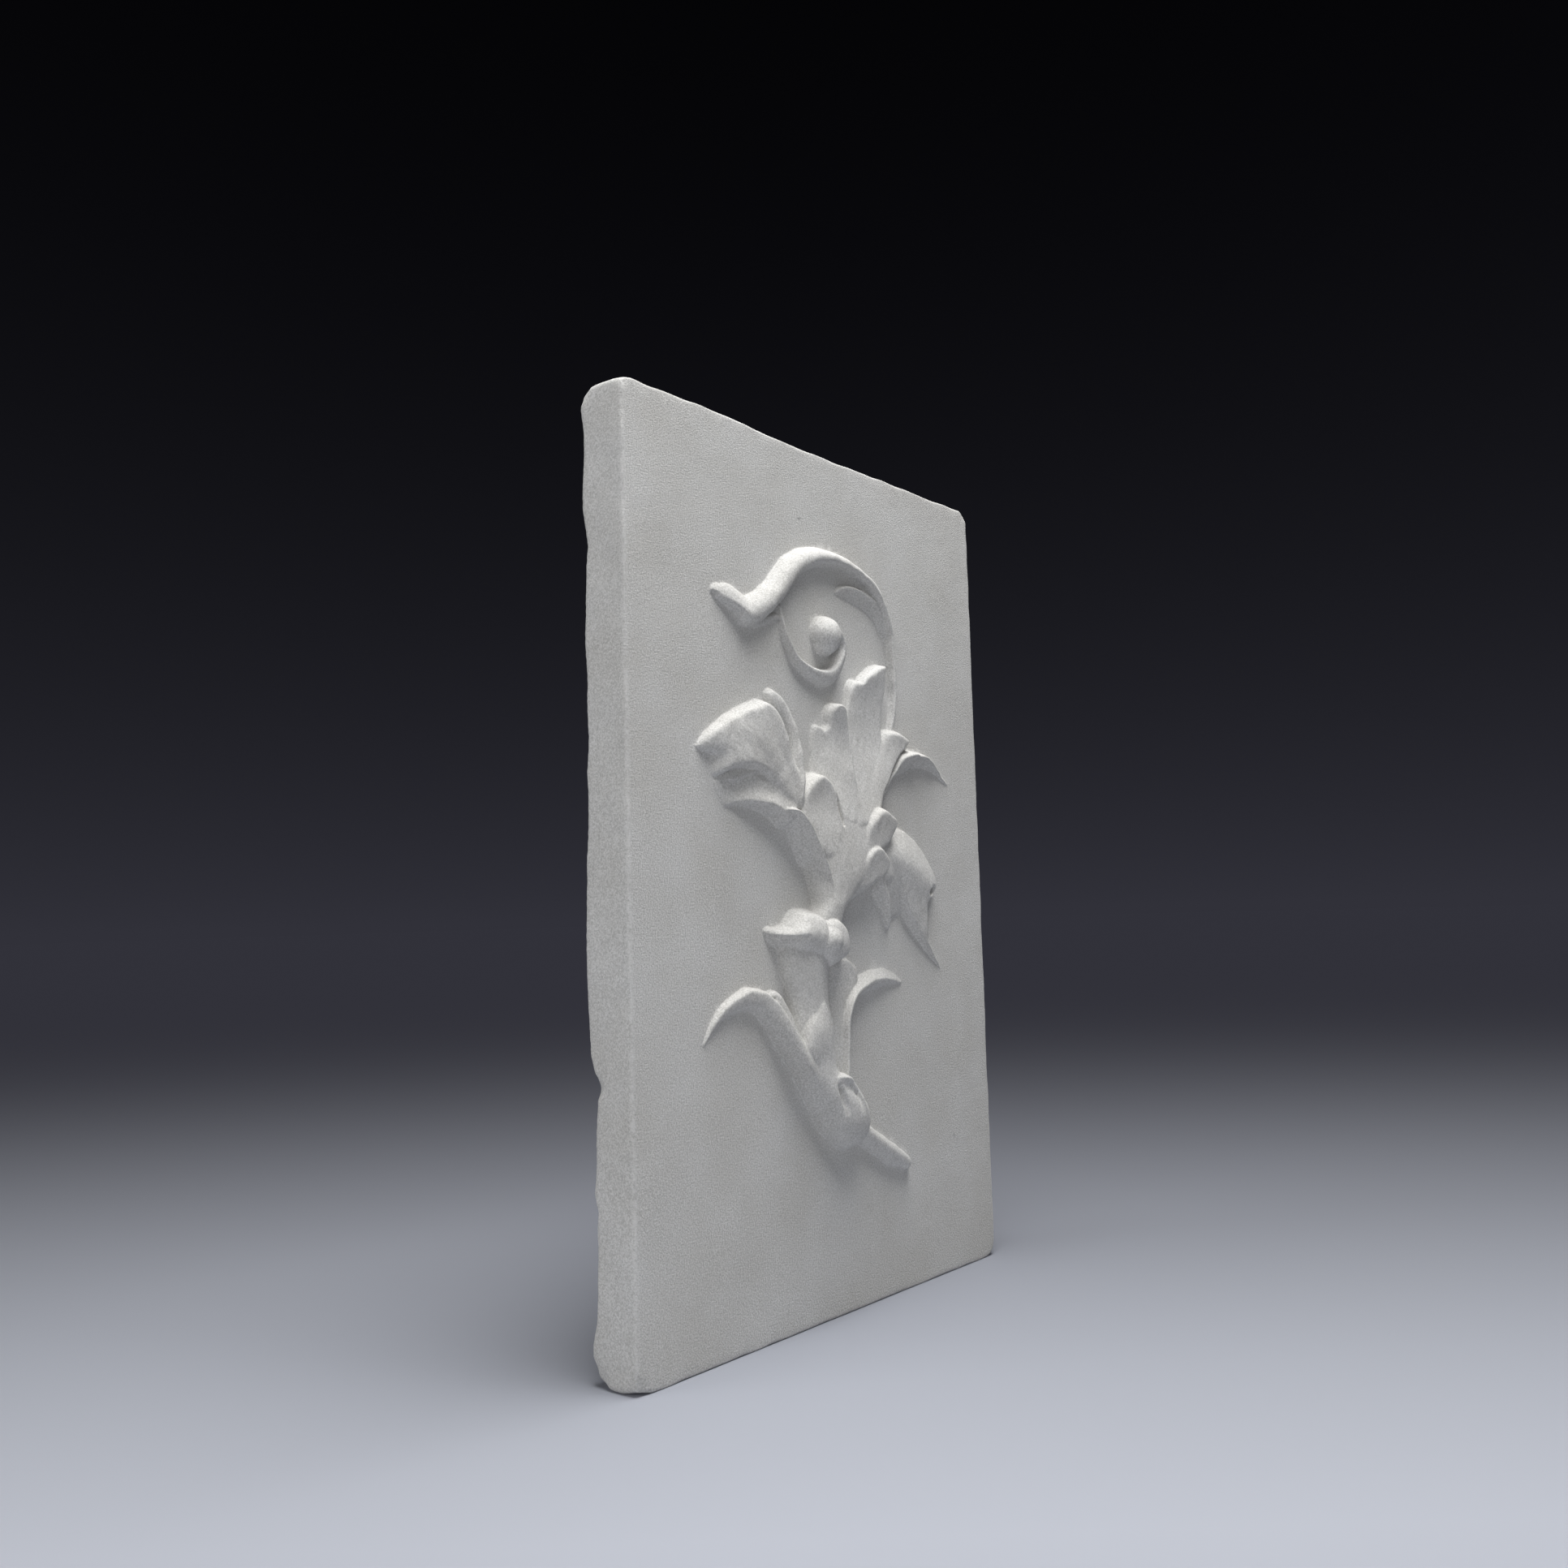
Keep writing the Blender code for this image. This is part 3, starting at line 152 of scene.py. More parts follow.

# The sheet that the slab stands on carries painted shade: its colour fades to dark along the view, and a
# painted glow in the horizon's tone takes over. This runs from a place before the slab's middle and over a
# length, both in metres. The room fades upward, by the sine of the height.
FLOOR_HALF = 40000.0       # half the sheet's width, in millimetres
SHEET_TONE = "#aaadb6"
HORIZON_TONE = "#313139"
FADE_START = 0.35
FADE_LENGTH = 1.05
ROOM_FADE = 0.185

# Lights: place and aim in metres, side of the square in metres, and watts.
LIGHTS = {
    "overhead": ((-0.12, -0.40, 2.10), (0.0, -0.15, 0.0), 1.0, 57.0),
    "fill": ((-1.9, -1.3, 0.7), (0.0, 0.0, 0.3), 1.8, 10.5),
    "front": ((0.5, -3.5, 0.9), (0.0, 0.0, 0.2), 1.6, 4.0),
    "side": ((-1.8, 0.9, 0.9), (-0.2, 0.0, 0.3), 1.0, 9.5),
}

# A colour Mix node's sockets, which share their names: the share, the two colours, the result.
SHARE = 0
FIRST = 6
SECOND = 7
MIXED = 2

# The rows were read from one oblique view, in which a form that stands out looks
# moved away from this eye. The eye is given in the same units: to the left, up
# from the foot of the slab and out from its face.
EYE_LEFT = 780.0
EYE_UP = 271.0
EYE_OUT = 579.0

GROUND = -40.0             # below the slab's face, where a form takes no part
BLEND = 1.0                # radius of the fillet where two forms meet
WALL_SLOPE = 2.5           # how steeply a form's wall falls below its foot
NARROWEST = 0.3            # least half width of a form, as a share of its height
THINNEST = 0.5             # what a ridge has at least beyond that
PATCH_MARGIN = 12.0        # how far round a patch it is worked out, and round another form
PATH_MARGIN = 8.0
CUT_FLOOR = 0.3            # height above the face at which a cut stops

# Cross-sections of a form, as (power, root, share kept at the edge).
ROUND = (2.0, 0.6, 0.0)
FULL = (2.4, 0.55, 0.0)
SOFT = (2.0, 0.7, 0.0)
BAND_OUTSIDE = (2.0, 0.8, 0.0)
CURL_INSIDE = (2.2, 0.65, 0.0)
LEAF_UNDERSIDE = (2.2, 0.62, 0.0)
CUP = (2.6, 0.5, 0.0)
STEM = (2.2, 0.5, 0.0)


def slope(share):
    """A cross-section that falls almost evenly to a share of the crest's height."""
    return (1.1, 1.0, share)


def rounded(share, section):
    """A cross-section's height, as a share of its crest's, at a share of its half width."""
    power, root, edge = section
    return edge + (1 - edge) * (1 - np.clip(share, 0.0, 1.0)**power)**root


def spline(rows, steps=6):
    """Rows of numbers joined by a Catmull-Rom curve, with steps points to a row."""
    knots = np.array(rows, dtype=float)
    ends = (2 * knots[:1] - knots[1:2], 2 * knots[-1:] - knots[-2:-1])
    knots = np.vstack([ends[0], knots, ends[1]])
    u = np.linspace(0.0, 1.0, steps, endpoint=False)[:, None]
    spans = []
    for before, start, end, after in zip(knots, knots[1:], knots[2:], knots[3:]):
        bend = 2 * before - 5 * start + 4 * end - after
        twist = 3 * start - before - 3 * end + after
        spans.append(start + 0.5 * ((end - before) * u + bend * u**2 + twist * u**3))
    return np.vstack(spans + [knots[-2:-1]])


def join(ground, form):
    """The higher of two surfaces, with a small fillet between them."""
    share = np.clip(0.5 + 0.5 * (form - ground) / BLEND, 0.0, 1.0)
    return ground + (form - ground) * share + BLEND * share * (1.0 - share)


def joined(surface, *forms):
    """A surface with other forms joined to it, one after another."""
    for form in forms:
        surface = join(surface, form)
    return surface


def nearest_on_path(x, z, path):
    """For each point: distance to the path, whether it lies left, and the path's values."""
    best = np.full(x.shape, np.inf)
    along = np.zeros(x.shape)
    turn = np.zeros(x.shape)
    for index in range(len(path) - 1):
        start = path[index, :2]
        step = path[index + 1, :2] - start
        share = ((x - start[0]) * step[0] + (z - start[1]) * step[1]) / (step @ step)
        share = np.clip(share, 0.0, 1.0)
        away_x = x - start[0] - share * step[0]
        away_z = z - start[1] - share * step[1]
        square = away_x**2 + away_z**2
        nearer = square < best
        best = np.where(nearer, square, best)
        along = np.where(nearer, index + share, along)
        turn = np.where(nearer, step[0] * away_z - step[1] * away_x, turn)
    places = np.arange(len(path))
    values = [np.interp(along, places, column) for column in path.T[2:]]
    return np.sqrt(best), turn > 0, values


def around(x, z, path, margin=PATH_MARGIN):
    """Which points lie near enough to the path for its form to matter there."""
    reach = path[:, 2:4].max() + margin
    inside_x = (x > path[:, 0].min() - reach) & (x < path[:, 0].max() + reach)
    inside_z = (z > path[:, 1].min() - reach) & (z < path[:, 1].max() + reach)
    return inside_x & inside_z


def eye_shift(across, up):
    """How far one unit of height moves a form away from the eye, across and up."""
    return np.array([(across + EYE_LEFT) / EYE_OUT, (up - EYE_UP) / EYE_OUT])


def true_crest(rows):
    """Rows (across, up, height, left width, right width) as seen, put where they are.

    The crest moves back toward the eye by its height. The side toward the eye looks
    wider by as much, so its true width is less by that.
    """
    rows = np.array(rows, dtype=float)
    heading = np.gradient(rows[:, :2], axis=0)
    heading /= np.linalg.norm(heading, axis=1, keepdims=True)
    shift = eye_shift(rows[:, 0], rows[:, 1]).T
    height = rows[:, 2]
    to_left = shift[:, 1] * heading[:, 0] - shift[:, 0] * heading[:, 1]
    least = NARROWEST * height + THINNEST
    left = rows[:, 3] + height * np.minimum(to_left, 0.0)
    left = np.maximum(left, np.minimum(rows[:, 3], least))
    right = rows[:, 4] + height * np.minimum(-to_left, 0.0)
    right = np.maximum(right, np.minimum(rows[:, 4], least))
    place = rows[:, :2] - shift * rows[:, 2:3]
    return np.column_stack([place, left, right, height])


def half_width(near, far, height, shift):
    """Half the true width of a rounded form seen from its near foot to its far limb."""
    seen = np.hypot(*(far - near))
    lean = shift @ (far - near) / seen
    return max((seen**2 - (lean * height)**2) / (2 * seen), NARROWEST * height)


def ridge(x, z, rows, left=ROUND, right=ROUND):
    """A form along a crest, with its own cross-section on either side."""
    path = spline(true_crest(rows))
    out = np.full(x.shape, GROUND)
    near = around(x, z, path)
    distance, is_left, (wide_left, wide_right, height) = nearest_on_path(x[near], z[near], path)
    width = np.where(is_left, wide_left, wide_right)
    share = distance / width
    crown = np.where(is_left, rounded(share, left), rounded(share, right))
    out[near] = height * crown - WALL_SLOPE * np.maximum(distance - width, 0.0)
    return out


def roll(x, z, rows):
    """A rounded form. Rows: across and up of its near foot and far limb, and its height."""
    path = []
    for near_x, near_z, far_x, far_z, height in rows:
        near = np.array([near_x, near_z])
        far = np.array([far_x, far_z])
        middle = (near + far) / 2
        half = half_width(near, far, height, eye_shift(*middle))
        centre = near + (far - near) / np.hypot(*(far - near)) * half
        path.append((*centre, half, half, height))
    path = spline(path)
    out = np.full(x.shape, GROUND)
    close = around(x, z, path)
    distance, _, (width, _, height) = nearest_on_path(x[close], z[close], path)
    outside = np.maximum(distance - width, 0.0)
    out[close] = height * rounded(distance / width, FULL) - WALL_SLOPE * outside
    return out


def trunk(x, z, rows, section):
    """An upright rounded form. Rows: up, near foot, far limb and height, from the bottom."""
    columns = []
    for up, near_x, far_x, height in rows:
        near = np.array([near_x, up])
        far = np.array([far_x, up])
        half = half_width(near, far, height, eye_shift((near_x + far_x) / 2, up))
        columns.append((up, near_x + half, half, height))
    levels = spline(columns)
    ups = levels[:, 0]
    within = np.clip(z, ups[0], ups[-1])
    centre, width, height = [np.interp(within, ups, column) for column in levels.T[1:]]
    distance = np.abs(x - centre)
    outside = np.maximum(distance - width, 0.0) + np.abs(z - within)
    return height * rounded(distance / width, section) - WALL_SLOPE * outside


def dome(x, z, across, up, half_across, half_up, height):
    """Half an ellipsoid standing on the face."""
    square = ((x - across) / half_across)**2 + ((z - up) / half_up)**2
    return np.where(square < 1.0, height * np.sqrt(np.maximum(1.0 - square, 0.0)), GROUND)


def through(x, z, rows):
    """Height of the smoothest surface through rows (across, up, height): a thin plate spline.

    It is a plane plus, for each row, a weight times r squared log r at a distance r from
    it. The weights are those that meet every row's height.
    """
    rows = np.array(rows, dtype=float)

    def bend(across, up):
        square = (across[..., None] - rows[:, 0])**2 + (up[..., None] - rows[:, 1])**2
        return square * np.log(np.maximum(square, 1e-9))

    count = len(rows)
    plane = np.column_stack([np.ones(count), rows[:, :2]])
    system = np.zeros((count + 3, count + 3))
    system[:count, :count] = bend(rows[:, 0], rows[:, 1])
    system[:count, count:] = plane
    system[count:, :count] = plane.T
    weights = np.linalg.solve(system, np.append(rows[:, 2], np.zeros(3)))
    flat = weights[count] + weights[count + 1] * x + weights[count + 2] * z
    return bend(x, z) @ weights[:count] + flat


def encloses(x, z, path):
    """Whether the closed path runs round each point: the edges to its right are odd in number."""
    inside = np.zeros(x.shape, dtype=bool)
    for start, end in zip(path[:-1], path[1:]):
        if start[1] != end[1]:
            across = start[0] + (end[0] - start[0]) * (z - start[1]) / (end[1] - start[1])
            inside ^= ((start[1] > z) != (end[1] > z)) & (x < across)
    return inside


def patch(x, z, edge, tops):
    """A form with an edge all round and a top that runs through given heights, both as seen.

    Edge rows: across, up, how steeply the wall falls there and how far it is rounded.
    """
    edge = np.array(edge + edge[:1], dtype=float)
    tops = np.array(tops, dtype=float)
    height = through(edge[:, 0], edge[:, 1], tops)
    edge[:, :2] -= (eye_shift(edge[:, 0], edge[:, 1]) * height).T
    tops[:, :2] -= (eye_shift(tops[:, 0], tops[:, 1]) * tops[:, 2]).T
    path = spline(edge, steps=5)
    out = np.full(x.shape, GROUND)
    near = around(x, z, path, PATCH_MARGIN)
    distance, _, (fall, radius) = nearest_on_path(x[near], z[near], path)
    distance = np.where(encloses(x[near], z[near], path), -distance, distance)
    drop = fall * radius * np.logaddexp(0.0, distance / radius)
    out[near] = through(x[near], z[near], tops) - drop
    return out


def sink(surface, x, z, level, rows):
    """Cuts a groove. Rows: across, up, depth and half width, seen at the given level."""
    rows = np.array(rows, dtype=float)
    place = rows[:, :2] - (eye_shift(rows[:, 0], rows[:, 1]) * level).T
    path = spline(np.column_stack([place, rows[:, 3], rows[:, 3], rows[:, 2]]))
    distance, _, (width, _, depth) = nearest_on_path(x, z, path)
    cut = depth * (1 - np.clip(distance / width, 0.0, 1.0)**2)
    return surface - np.clip(cut, 0.0, np.maximum(surface - CUT_FLOOR, 0.0))


def scroll(x, z):
    """The wave-topped volute, the crescent inside it, its inner lip, and the ball in that."""
    crescent = patch(x, z, [(12, 500, 3, 0.5), (20, 505, 5, 0.5), (31, 508, 5, 0.5), (46, 507.5, 4, 0.5),
                            (60, 505, 2, 1), (70, 500, 2, 1), (78, 489, 2, 1), (80, 478, 2, 1),
                            (75.5, 471, 1.5, 0.6), (68.5, 479, 1.5, 0.6), (61, 486.5, 1.5, 0.6),
                            (50, 491.5, 1.5, 0.6), (38, 495, 1.5, 0.6), (22, 497, 1.5, 0.6)],
                     [(13, 500, 1), (22, 504, 3), (33, 507, 4.4), (48, 506.5, 5.4), (24, 498, 1),
                      (38, 496, 1.2), (51, 492.5, 1.4), (62, 487.5, 1.5), (69, 480.5, 1.6),
                      (76, 472, 1.8), (62, 502, 5.6), (74, 490, 5.2), (80, 480, 4.6)])
    band = ridge(x, z, [(79, 400, 3, 8, 5), (85, 422, 5, 7, 4), (87.5, 444, 6.4, 4, 4),
                        (87, 464, 7.2, 3.2, 4), (84.5, 486, 8.4, 4, 5), (68, 511, 9, 6, 6),
                        (38, 523, 9, 7, 7), (4, 524.5, 9, 7.5, 8), (-26, 513, 9.6, 8, 13.5),
                        (-52, 487, 10, 8, 15.5), (-76, 471.5, 9, 8, 13.5), (-89, 473, 7.4, 8, 12.5),
                        (-99, 476.5, 5.6, 7.5, 11.5), (-107, 478, 4.2, 6, 9.5),
                        (-112, 478.5, 3.2, 4.5, 7.5)],
                 FULL, BAND_OUTSIDE)
    curl = ridge(x, z, [(-50, 480, 3, 1.5, 3), (-45, 465, 4.5, 1.5, 6), (-31, 447.5, 6, 2, 9.5),
                        (-10, 440.5, 7, 3, 10), (8, 442, 8, 3, 10), (20, 452, 9, 5, 7),
                        (24, 464, 10, 8, 5), (17, 474, 11, 6, 4)], ROUND, CURL_INSIDE)
    ball = dome(x, z, -4.5, 465.5, 14, 14.5, 13.5)
    under = ridge(x, z, [(-96, 463.5, 1, 2, 2), (-78, 464, 2, 3, 3), (-54, 473, 3, 3, 4)])
    return joined(crescent, band, curl, ball, under)


def left_leaf(x, z):
    """The big leaf at the left: a swelling upper half with a rim, two slits, and a lower half."""
    behind = patch(x, z, [(-65, 418.5, 2, 1), (-59, 420.5, 2, 1), (-51, 417, 2, 1),
                          (-43.5, 411, 2, 1), (-38, 404, 2, 1), (-33, 396, 2, 1), (-29.5, 386, 2, 1),
                          (-26.5, 374, 2, 1), (-26, 360, 2, 1), (-34, 350, 2, 1), (-44, 390, 2, 1),
                          (-53, 402, 2, 1), (-64, 411, 2, 1)],
                   [(-64, 417.5, 4.6), (-57, 418, 6), (-45, 410.5, 7.8), (-36, 398, 9.8),
                    (-30, 380, 12), (-27, 362, 14), (-58, 411.5, 5.6), (-46, 402.5, 6.8),
                    (-39, 389, 8.4), (-34, 373, 10.6)])
    rim = [(-139, 377, 1), (-120, 388, 6), (-100, 398, 8.4), (-85, 404.5, 9.6), (-68, 409.5, 10.8),
           (-59, 408, 11.2), (-52, 403, 11.6), (-47, 395.5, 12), (-43, 387.5, 12.4), (-36, 370, 12.5)]
    valley = [(-84, 399, 9.8), (-73, 400.5, 10.8), (-64, 397.5, 11), (-57.5, 391, 11),
              (-53.5, 382, 10.8), (-49, 372, 10.6), (-44, 361, 11)]
    fold = [(-104, 388, 8.6), (-90, 392, 10.2), (-77, 390, 11.1), (-68, 386, 11.3),
            (-62, 379.5, 11.4), (-56.5, 371.5, 11.2), (-50, 361, 11.2)]
    hollow = [(-88, 384, 10.4), (-76, 380, 10.6), (-67, 373.5, 10.4), (-59, 364, 10.2), (-50, 352, 10.6)]
    lid = [(-122, 362, 2), (-110, 368, 6.6), (-98, 372, 9.6), (-88, 373.5, 10.9), (-77, 371.5, 10.7),
           (-67, 365.5, 9.8), (-57, 357, 9.8), (-120, 370, 2.6), (-129, 377, 3.4), (-116, 378, 6)]
    upper = patch(x, z, [(-139, 377, 1.8, 0.6), (-128, 384, 2.4, 0.8), (-114, 392, 2.6, 0.8),
                         (-100, 399.5, 2.6, 0.8), (-88, 404.6, 2.6, 0.8), (-76, 408.5, 2.6, 0.8),
                         (-66, 411.3, 2.6, 0.8), (-58.5, 409.5, 2.2, 1), (-52, 404.5, 1.8, 1.2),
                         (-47, 397.5, 1.8, 1.2), (-43, 389, 1.6, 1.5), (-37.5, 374, 1.6, 1.5),
                         (-30, 360, 1.6, 1), (-30, 346, 1, 1), (-44, 349, 1, 1), (-56, 357.5, 1, 1),
                         (-66, 364.5, 1.8, 1), (-75, 368, 3.6, 0.8), (-86, 369, 4.4, 0.8),
                         (-98, 367.4, 4.2, 0.8), (-110, 363.8, 3, 0.8), (-122, 361, 1, 1),
                         (-123, 367, 0.6, 1), (-119, 373, 1.4, 0.8), (-125, 375.2, 2.6, 0.6),
                         (-134, 376, 2, 0.6)],
                  rim + valley + fold + hollow + lid)
    tongue = patch(x, z, [(-109, 358.5, 1, 1), (-102, 358, 1.8, 0.6), (-94, 360.3, 2, 0.6),
                          (-84, 363.3, 2, 0.6), (-74, 366.5, 1.6, 0.6), (-80, 371, 1, 1),
                          (-95, 370, 1, 1), (-108, 364, 1, 1)],
                   [(-107, 361, 2.8), (-100, 360.5, 3.8), (-92, 362, 4.8), (-82, 365, 5.8),
                    (-96, 367, 2.8), (-84, 369, 4.2)])
    crest = [(-113, 341, 1.2), (-100, 344.5, 3.4), (-88, 346.2, 6), (-76, 346.7, 7.8),
             (-64, 345.6, 9.4), (-53, 342.2, 10.8), (-40, 336, 11.6)]
    trough = [(-100, 352, 2.4), (-86, 354, 4.4), (-74, 354, 5.9), (-62, 352.5, 7.4), (-50, 347, 9.6)]
    below_slit = [(-121, 355, 1), (-111, 356, 1.8), (-100, 356, 2.3), (-90, 358.5, 4), (-80, 361, 5.5),
                  (-70, 359, 6.8), (-58, 354, 8.6), (-42, 345, 10.6)]
    lower = patch(x, z, [(-113, 340.8, 1.5, 0.6), (-100, 343.2, 2.5, 0.6), (-88, 344.4, 2.5, 0.8),
                         (-76, 344.6, 2.5, 0.8), (-64, 343.2, 2.5, 0.8), (-54, 340.6, 2.5, 0.8),
                         (-45, 336, 2, 1), (-40, 336, 2, 1), (-34, 345, 2, 1),
                         (-32, 350, 1, 1), (-50, 355, 0.6, 2), (-68, 360, 0.6, 2), (-88, 364, 1, 1),
                         (-105, 362, 1, 1), (-118, 358.5, 0.6, 1), (-122, 354, 0.5, 1),
                         (-118, 346, 0.7, 1)],
                  crest + trough + below_slit)
    return joined(behind, upper, tongue, lower)


def right_leaves(x, z):
    """The two lapped blades that spring to the right, and the big leaf that droops."""
    far_blade = patch(x, z, [(110, 389, 3.5, 0.5), (120, 390.4, 3.5, 0.5), (130, 389.2, 3.5, 0.5),
                             (138, 385.4, 3.5, 0.5), (144, 380, 3, 0.5), (149.5, 374, 2.5, 0.5),
                             (155, 368.5, 2, 0.4), (148, 370.5, 1.5, 0.5), (140, 374.5, 1.5, 0.5),
                             (130, 378, 1.5, 0.5), (118, 380, 1.5, 0.5), (106, 380.5, 1.5, 0.5)],
                      [(112, 389, 8), (121, 390, 8), (131, 388.4, 7.4), (139, 384.2, 5.8),
                       (145, 378.6, 3.8), (150, 373.2, 2), (154.5, 368.9, 0.7), (120, 384, 5),
                       (132, 381.6, 3.6), (143, 375.5, 1.5), (106, 381, 2.6), (118, 380.5, 1.2),
                       (131, 378.4, 0.8), (147, 370.8, 0.4)])
    near_blade = patch(x, z, [(66, 356, 3.5, 0.5), (74, 365.5, 3.5, 0.5), (83, 375, 3.5, 0.5),
                              (91, 382, 3.5, 0.5), (99, 387.2, 3.5, 0.5), (108, 389.6, 3.5, 0.5),
                              (118.5, 390.4, 3.5, 0.4), (117, 387, 4, 0.4), (110, 384.5, 3, 0.5),
                              (103, 379, 1.5, 0.5), (92, 376, 1.5, 0.5), (80, 370, 1.5, 0.5),
                              (70, 359, 1.5, 0.5)],
                       [(66, 356, 5.6), (74, 365, 6), (83, 374.5, 6.6), (91, 381.5, 7.8), (99, 386.6, 9.4),
                        (108, 389.2, 10), (118, 390.2, 10), (80, 370.5, 4), (90, 376.5, 4.6),
                        (100, 381, 5.4), (110, 385.6, 7.6), (104, 379, 2.4), (92, 375.5, 2)])
    small_lobe = roll(x, z, [(36, 296, 76, 306, 10), (44, 290, 64, 296, 9), (54, 278, 68, 283, 8),
                             (60, 266, 68, 270, 5.5), (63, 260, 67, 263, 2)])
    web = patch(x, z, [(56, 300, 1, 1), (58, 284, 1.5, 1), (63, 272, 2, 1), (69, 265, 2, 1),
                       (76, 266, 1.5, 1), (84, 270, 1.5, 1), (90, 280, 1, 1), (90, 296, 1, 1)],
                [(60, 298, 7.6), (74, 296, 8), (88, 294, 8.4), (62, 280, 4.8), (74, 278, 4),
                 (86, 280, 4.4), (68, 267, 2), (80, 268, 1.4)])
    droop = patch(x, z, [(66, 330, 2, 1), (80, 331.5, 2, 1), (92, 330.5, 2, 1), (103, 326, 2, 1),
                         (112.5, 319.5, 2, 1), (122, 311, 2, 1), (130, 301.5, 2, 1),
                         (135.5, 291, 2.5, 0.8), (131, 283, 3, 0.8), (123.5, 278, 3, 0.8),
                         (121, 266, 3, 0.8), (121, 254, 3, 0.8), (123.5, 246, 3, 0.8),
                         (129, 237, 2.5, 0.6), (135.5, 227, 2, 0.5), (129, 233, 2.5, 0.6),
                         (120, 242, 2.5, 0.8), (111, 251, 2.5, 0.8), (103, 260, 2.5, 0.8),
                         (96, 268, 3, 0.8), (91, 277, 3.5, 0.8), (87, 286, 3.5, 0.8),
                         (82, 293, 2.5, 1), (74, 298, 1.5, 1), (64, 304, 1, 1), (60, 318, 1, 1)],
                  [(68, 328.5, 6), (80, 330, 5.4), (92, 329, 5), (103, 324.5, 4.6), (112.5, 318, 4.4),
                   (122, 309.5, 4.4), (131, 298.5, 5), (72, 312, 10), (84, 310, 11.2),
                   (96, 305.5, 11.8), (108, 300, 11.4), (119, 294, 10.2), (128, 289.5, 8.6),
                   (75, 299, 8.4), (86, 294, 9.2), (97, 290, 9.6), (109, 284, 9),
                   (119, 278, 7.6), (92, 277, 7.4), (105, 271, 7.2), (117, 262, 6.2),
                   (104, 260, 5.6), (117, 248, 4.4), (128, 236, 2.6), (135, 227.5, 1.2)])
    surface = joined(far_blade, near_blade, small_lobe, web, droop)
    return sink(surface, x, z, 6, [(123, 284.5, 4, 2.6), (128, 287, 7, 3.6)])


